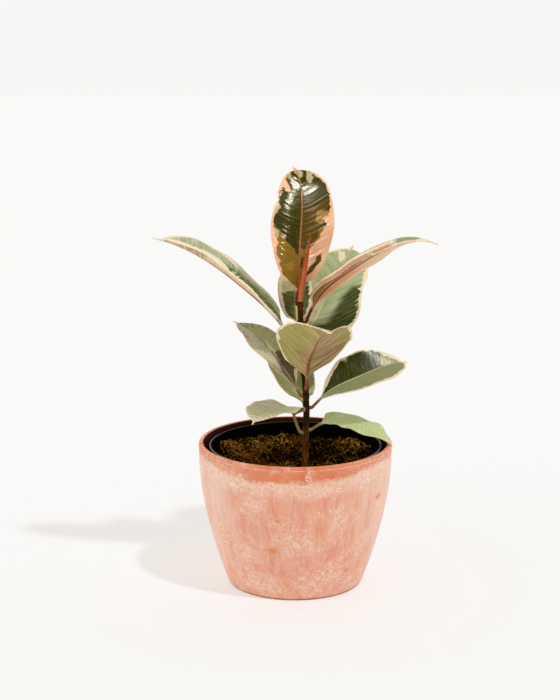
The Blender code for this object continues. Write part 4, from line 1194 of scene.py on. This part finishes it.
def addLamp(name, kind, at, target, **settings):
    data = bpy.data.lights.new(name, kind)
    for key, value in settings.items():
        setattr(data, key, value)
    data.color = studio["keyColour"]
    lamp = addObject(name, data)
    lamp.location = at
    lamp.rotation_euler = (Vector(target) - Vector(at)).to_track_quat("-Z", "Y").to_euler()
    return lamp


def addSoftbox(name, at, target, wide, tall, power):
    return addLamp(name, "AREA", at, target, shape="RECTANGLE", size=wide, size_y=tall, energy=power)


def addPanel(name, azimuth, height, *angles, bright):
    away, middle = studio["panelAway"], Vector(studio["panelMiddle"])
    a, e = math.radians(azimuth), math.radians(height)
    way = Vector((math.cos(e) * math.cos(a), math.cos(e) * math.sin(a), math.sin(e)))
    wide, tall = (2 * away * math.tan(math.radians(angle / 2)) for angle in angles)
    lamp = addSoftbox(name, middle + way * away, middle, wide, tall, bright * math.pi * wide * tall)
    lamp.visible_diffuse = lamp.visible_camera = False
    return lamp


def makeRoom():
    s = studio
    world = bpy.data.worlds.new("studio")
    world.use_nodes = True
    making["tree"] = world.node_tree
    x, y, z = split(put("TexCoord", {}))
    room = layers(
        s["front"],
        (ramp(x, 0.0, -0.7), s["leftFill"]),
        (ramp(y, -0.15, 0.35), s["behind"]),
        (ramp(z, 0.8, 0.93), s["ceiling"]),
        (times(put("LightPath", {}, out=3), 1 - s["glossyRoom"]), (0.0, 0.0, 0.0, 1.0)),
        (put("LightPath", {}), s["backdrop"]))
    world.node_tree.links.new(room, world.node_tree.nodes["Background"].inputs[0])
    bpy.context.scene.world = world


def makeLamps():
    s = studio
    addLamp("keyLight", "SUN", s["keyFrom"], (0, 0, 0), energy=s["keyPower"],
            angle=math.radians(s["keySpread"]))
    side = addSoftbox("sideLight", s["sideAt"], s["sideTarget"], *s["sideSize"], s["sidePower"])
    side.visible_camera = False
    top = addLamp("topLight", "SPOT", s["topAt"], s["topTarget"], energy=s["topPower"],
                  spot_size=math.radians(s["topCone"]), spot_blend=1.0, shadow_soft_size=s["topSoft"])
    top.visible_glossy = False
    for number, (leaf, *panel, bright) in enumerate(s["panels"]):
        shiny = bpy.data.collections.new("shiny" + str(number))
        for piece in bpy.data.objects:
            if piece.name.startswith(leaf) and piece.type == "MESH":
                shiny.objects.link(piece)
        lamp = addPanel("glossPanel" + str(number), *panel, bright=bright)
        lamp.light_linking.receiver_collection = shiny


def makeCamera():
    data = bpy.data.cameras.new("camera")
    data.lens = studio["lens"]
    data.clip_end = 50.0
    camera = addObject("camera", data)
    camera.location = studio["cameraAt"]
    camera.rotation_euler = (math.radians(studio["cameraPitch"]), 0, 0)
    bpy.context.scene.camera = camera
    bpy.context.scene.view_settings.view_transform = "Standard"


makeFloor()
makeRoom()
makeLamps()
makeCamera()
print("floor, light and camera made")
